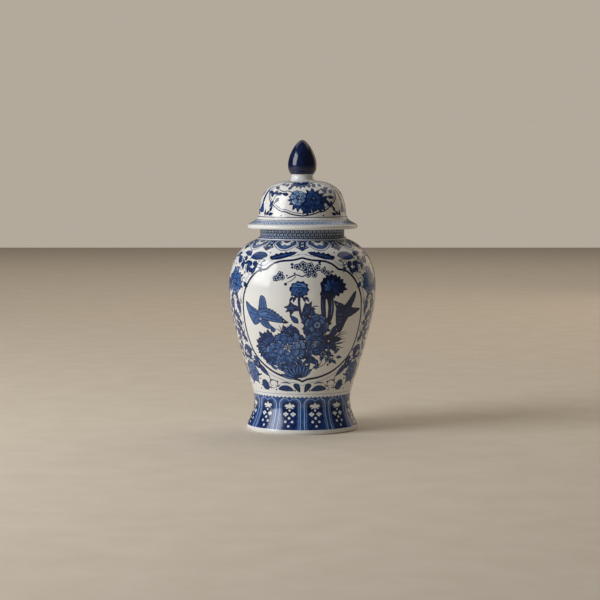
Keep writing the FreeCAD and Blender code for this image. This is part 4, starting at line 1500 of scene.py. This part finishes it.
def add_floor():
    """A plain pale matt floor."""
    mesh = bpy.data.meshes.new("floor")
    corners = [(x * FLOOR_REACH, y * FLOOR_REACH, 0) for x, y in ((-1, -1), (1, -1), (1, 1), (-1, 1))]
    mesh.from_pydata(corners, [], [(0, 1, 2, 3)])
    floor = bpy.data.objects.new("floor", mesh)
    material, tree, shader, where = new_material("pale_floor")
    colour = ramp(tree, grain(tree, where, 60.0, 2.0), ((0.3, srgb("#DCD0BE")), (0.7, srgb("#E2D7C6"))))
    tree.links.new(colour, shader.inputs["Base Color"])
    shader.inputs["Roughness"].default_value = 0.75
    mesh.materials.append(material)
    bpy.context.scene.collection.objects.link(floor)


def add_light(name, place, aim, size, watts, colour):
    """A rectangular soft light at a place, facing a point."""
    light = bpy.data.lights.new(name, "AREA")
    light.shape = "RECTANGLE"
    light.size, light.size_y = size
    light.energy = watts
    light.color = srgb(colour)[:3]
    lamp = bpy.data.objects.new(name, light)
    lamp.location = place
    lamp.rotation_euler = (Vector(aim) - Vector(place)).to_track_quat("-Z", "Y").to_euler()
    bpy.context.scene.collection.objects.link(lamp)


ROOM_LIGHT = 0.1  # what the room gives the jar
BACKDROP_LIGHT = 0.66  # how bright the empty background looks


def light_studio():
    """A tall soft window to the left, a weak warm bounce behind on the right and a wide ceiling behind."""
    world = bpy.data.worlds.new("studio")
    world.use_nodes = True
    tree = world.node_tree
    ray = add_node(tree, "ShaderNodeLightPath").outputs["Is Camera Ray"]
    settings = {"Value": ray, "To Min": ROOM_LIGHT, "To Max": BACKDROP_LIGHT}
    strength = add_node(tree, "ShaderNodeMapRange", settings).outputs[0]
    background = tree.nodes["Background"]
    background.inputs["Color"].default_value = srgb("#D8CCBC")
    tree.links.new(strength, background.inputs["Strength"])
    bpy.context.scene.world = world
    bpy.context.scene.view_settings.view_transform = "Standard"
    middle = (0, 0, 0.22)  # about half way up the jar
    add_light("tall_window", (-2.02, -0.9, 1.15), middle, (1.4, 1.8), 48, "#FAFCFF")
    add_light("wall_bounce", (1.8, 2.1, 0.9), middle, (1.8, 1.6), 6, "#F6DFC4")
    add_light("ceiling", (0.0, 2.6, 3.4), (0, 2.6, 0), (7.0, 5.0), 90, "#FFF6EA")


LENS = 117  # mm
CAMERA_PLACE = (-0.0032, -2.727, 0.369)  # metres
LOOKS_DOWN = 3.96


def place_camera():
    """A camera a little above the jar's middle, looking slightly down."""
    camera = bpy.data.objects.new("camera", bpy.data.cameras.new("camera"))
    camera.data.lens = LENS
    camera.data.sensor_width = 36
    camera.data.clip_end = 50
    camera.location = CAMERA_PLACE
    camera.rotation_euler = (math.radians(90 - LOOKS_DOWN), 0, 0)
    bpy.context.scene.collection.objects.link(camera)
    bpy.context.scene.camera = camera


place_camera()
light_studio()
add_floor()
dress()
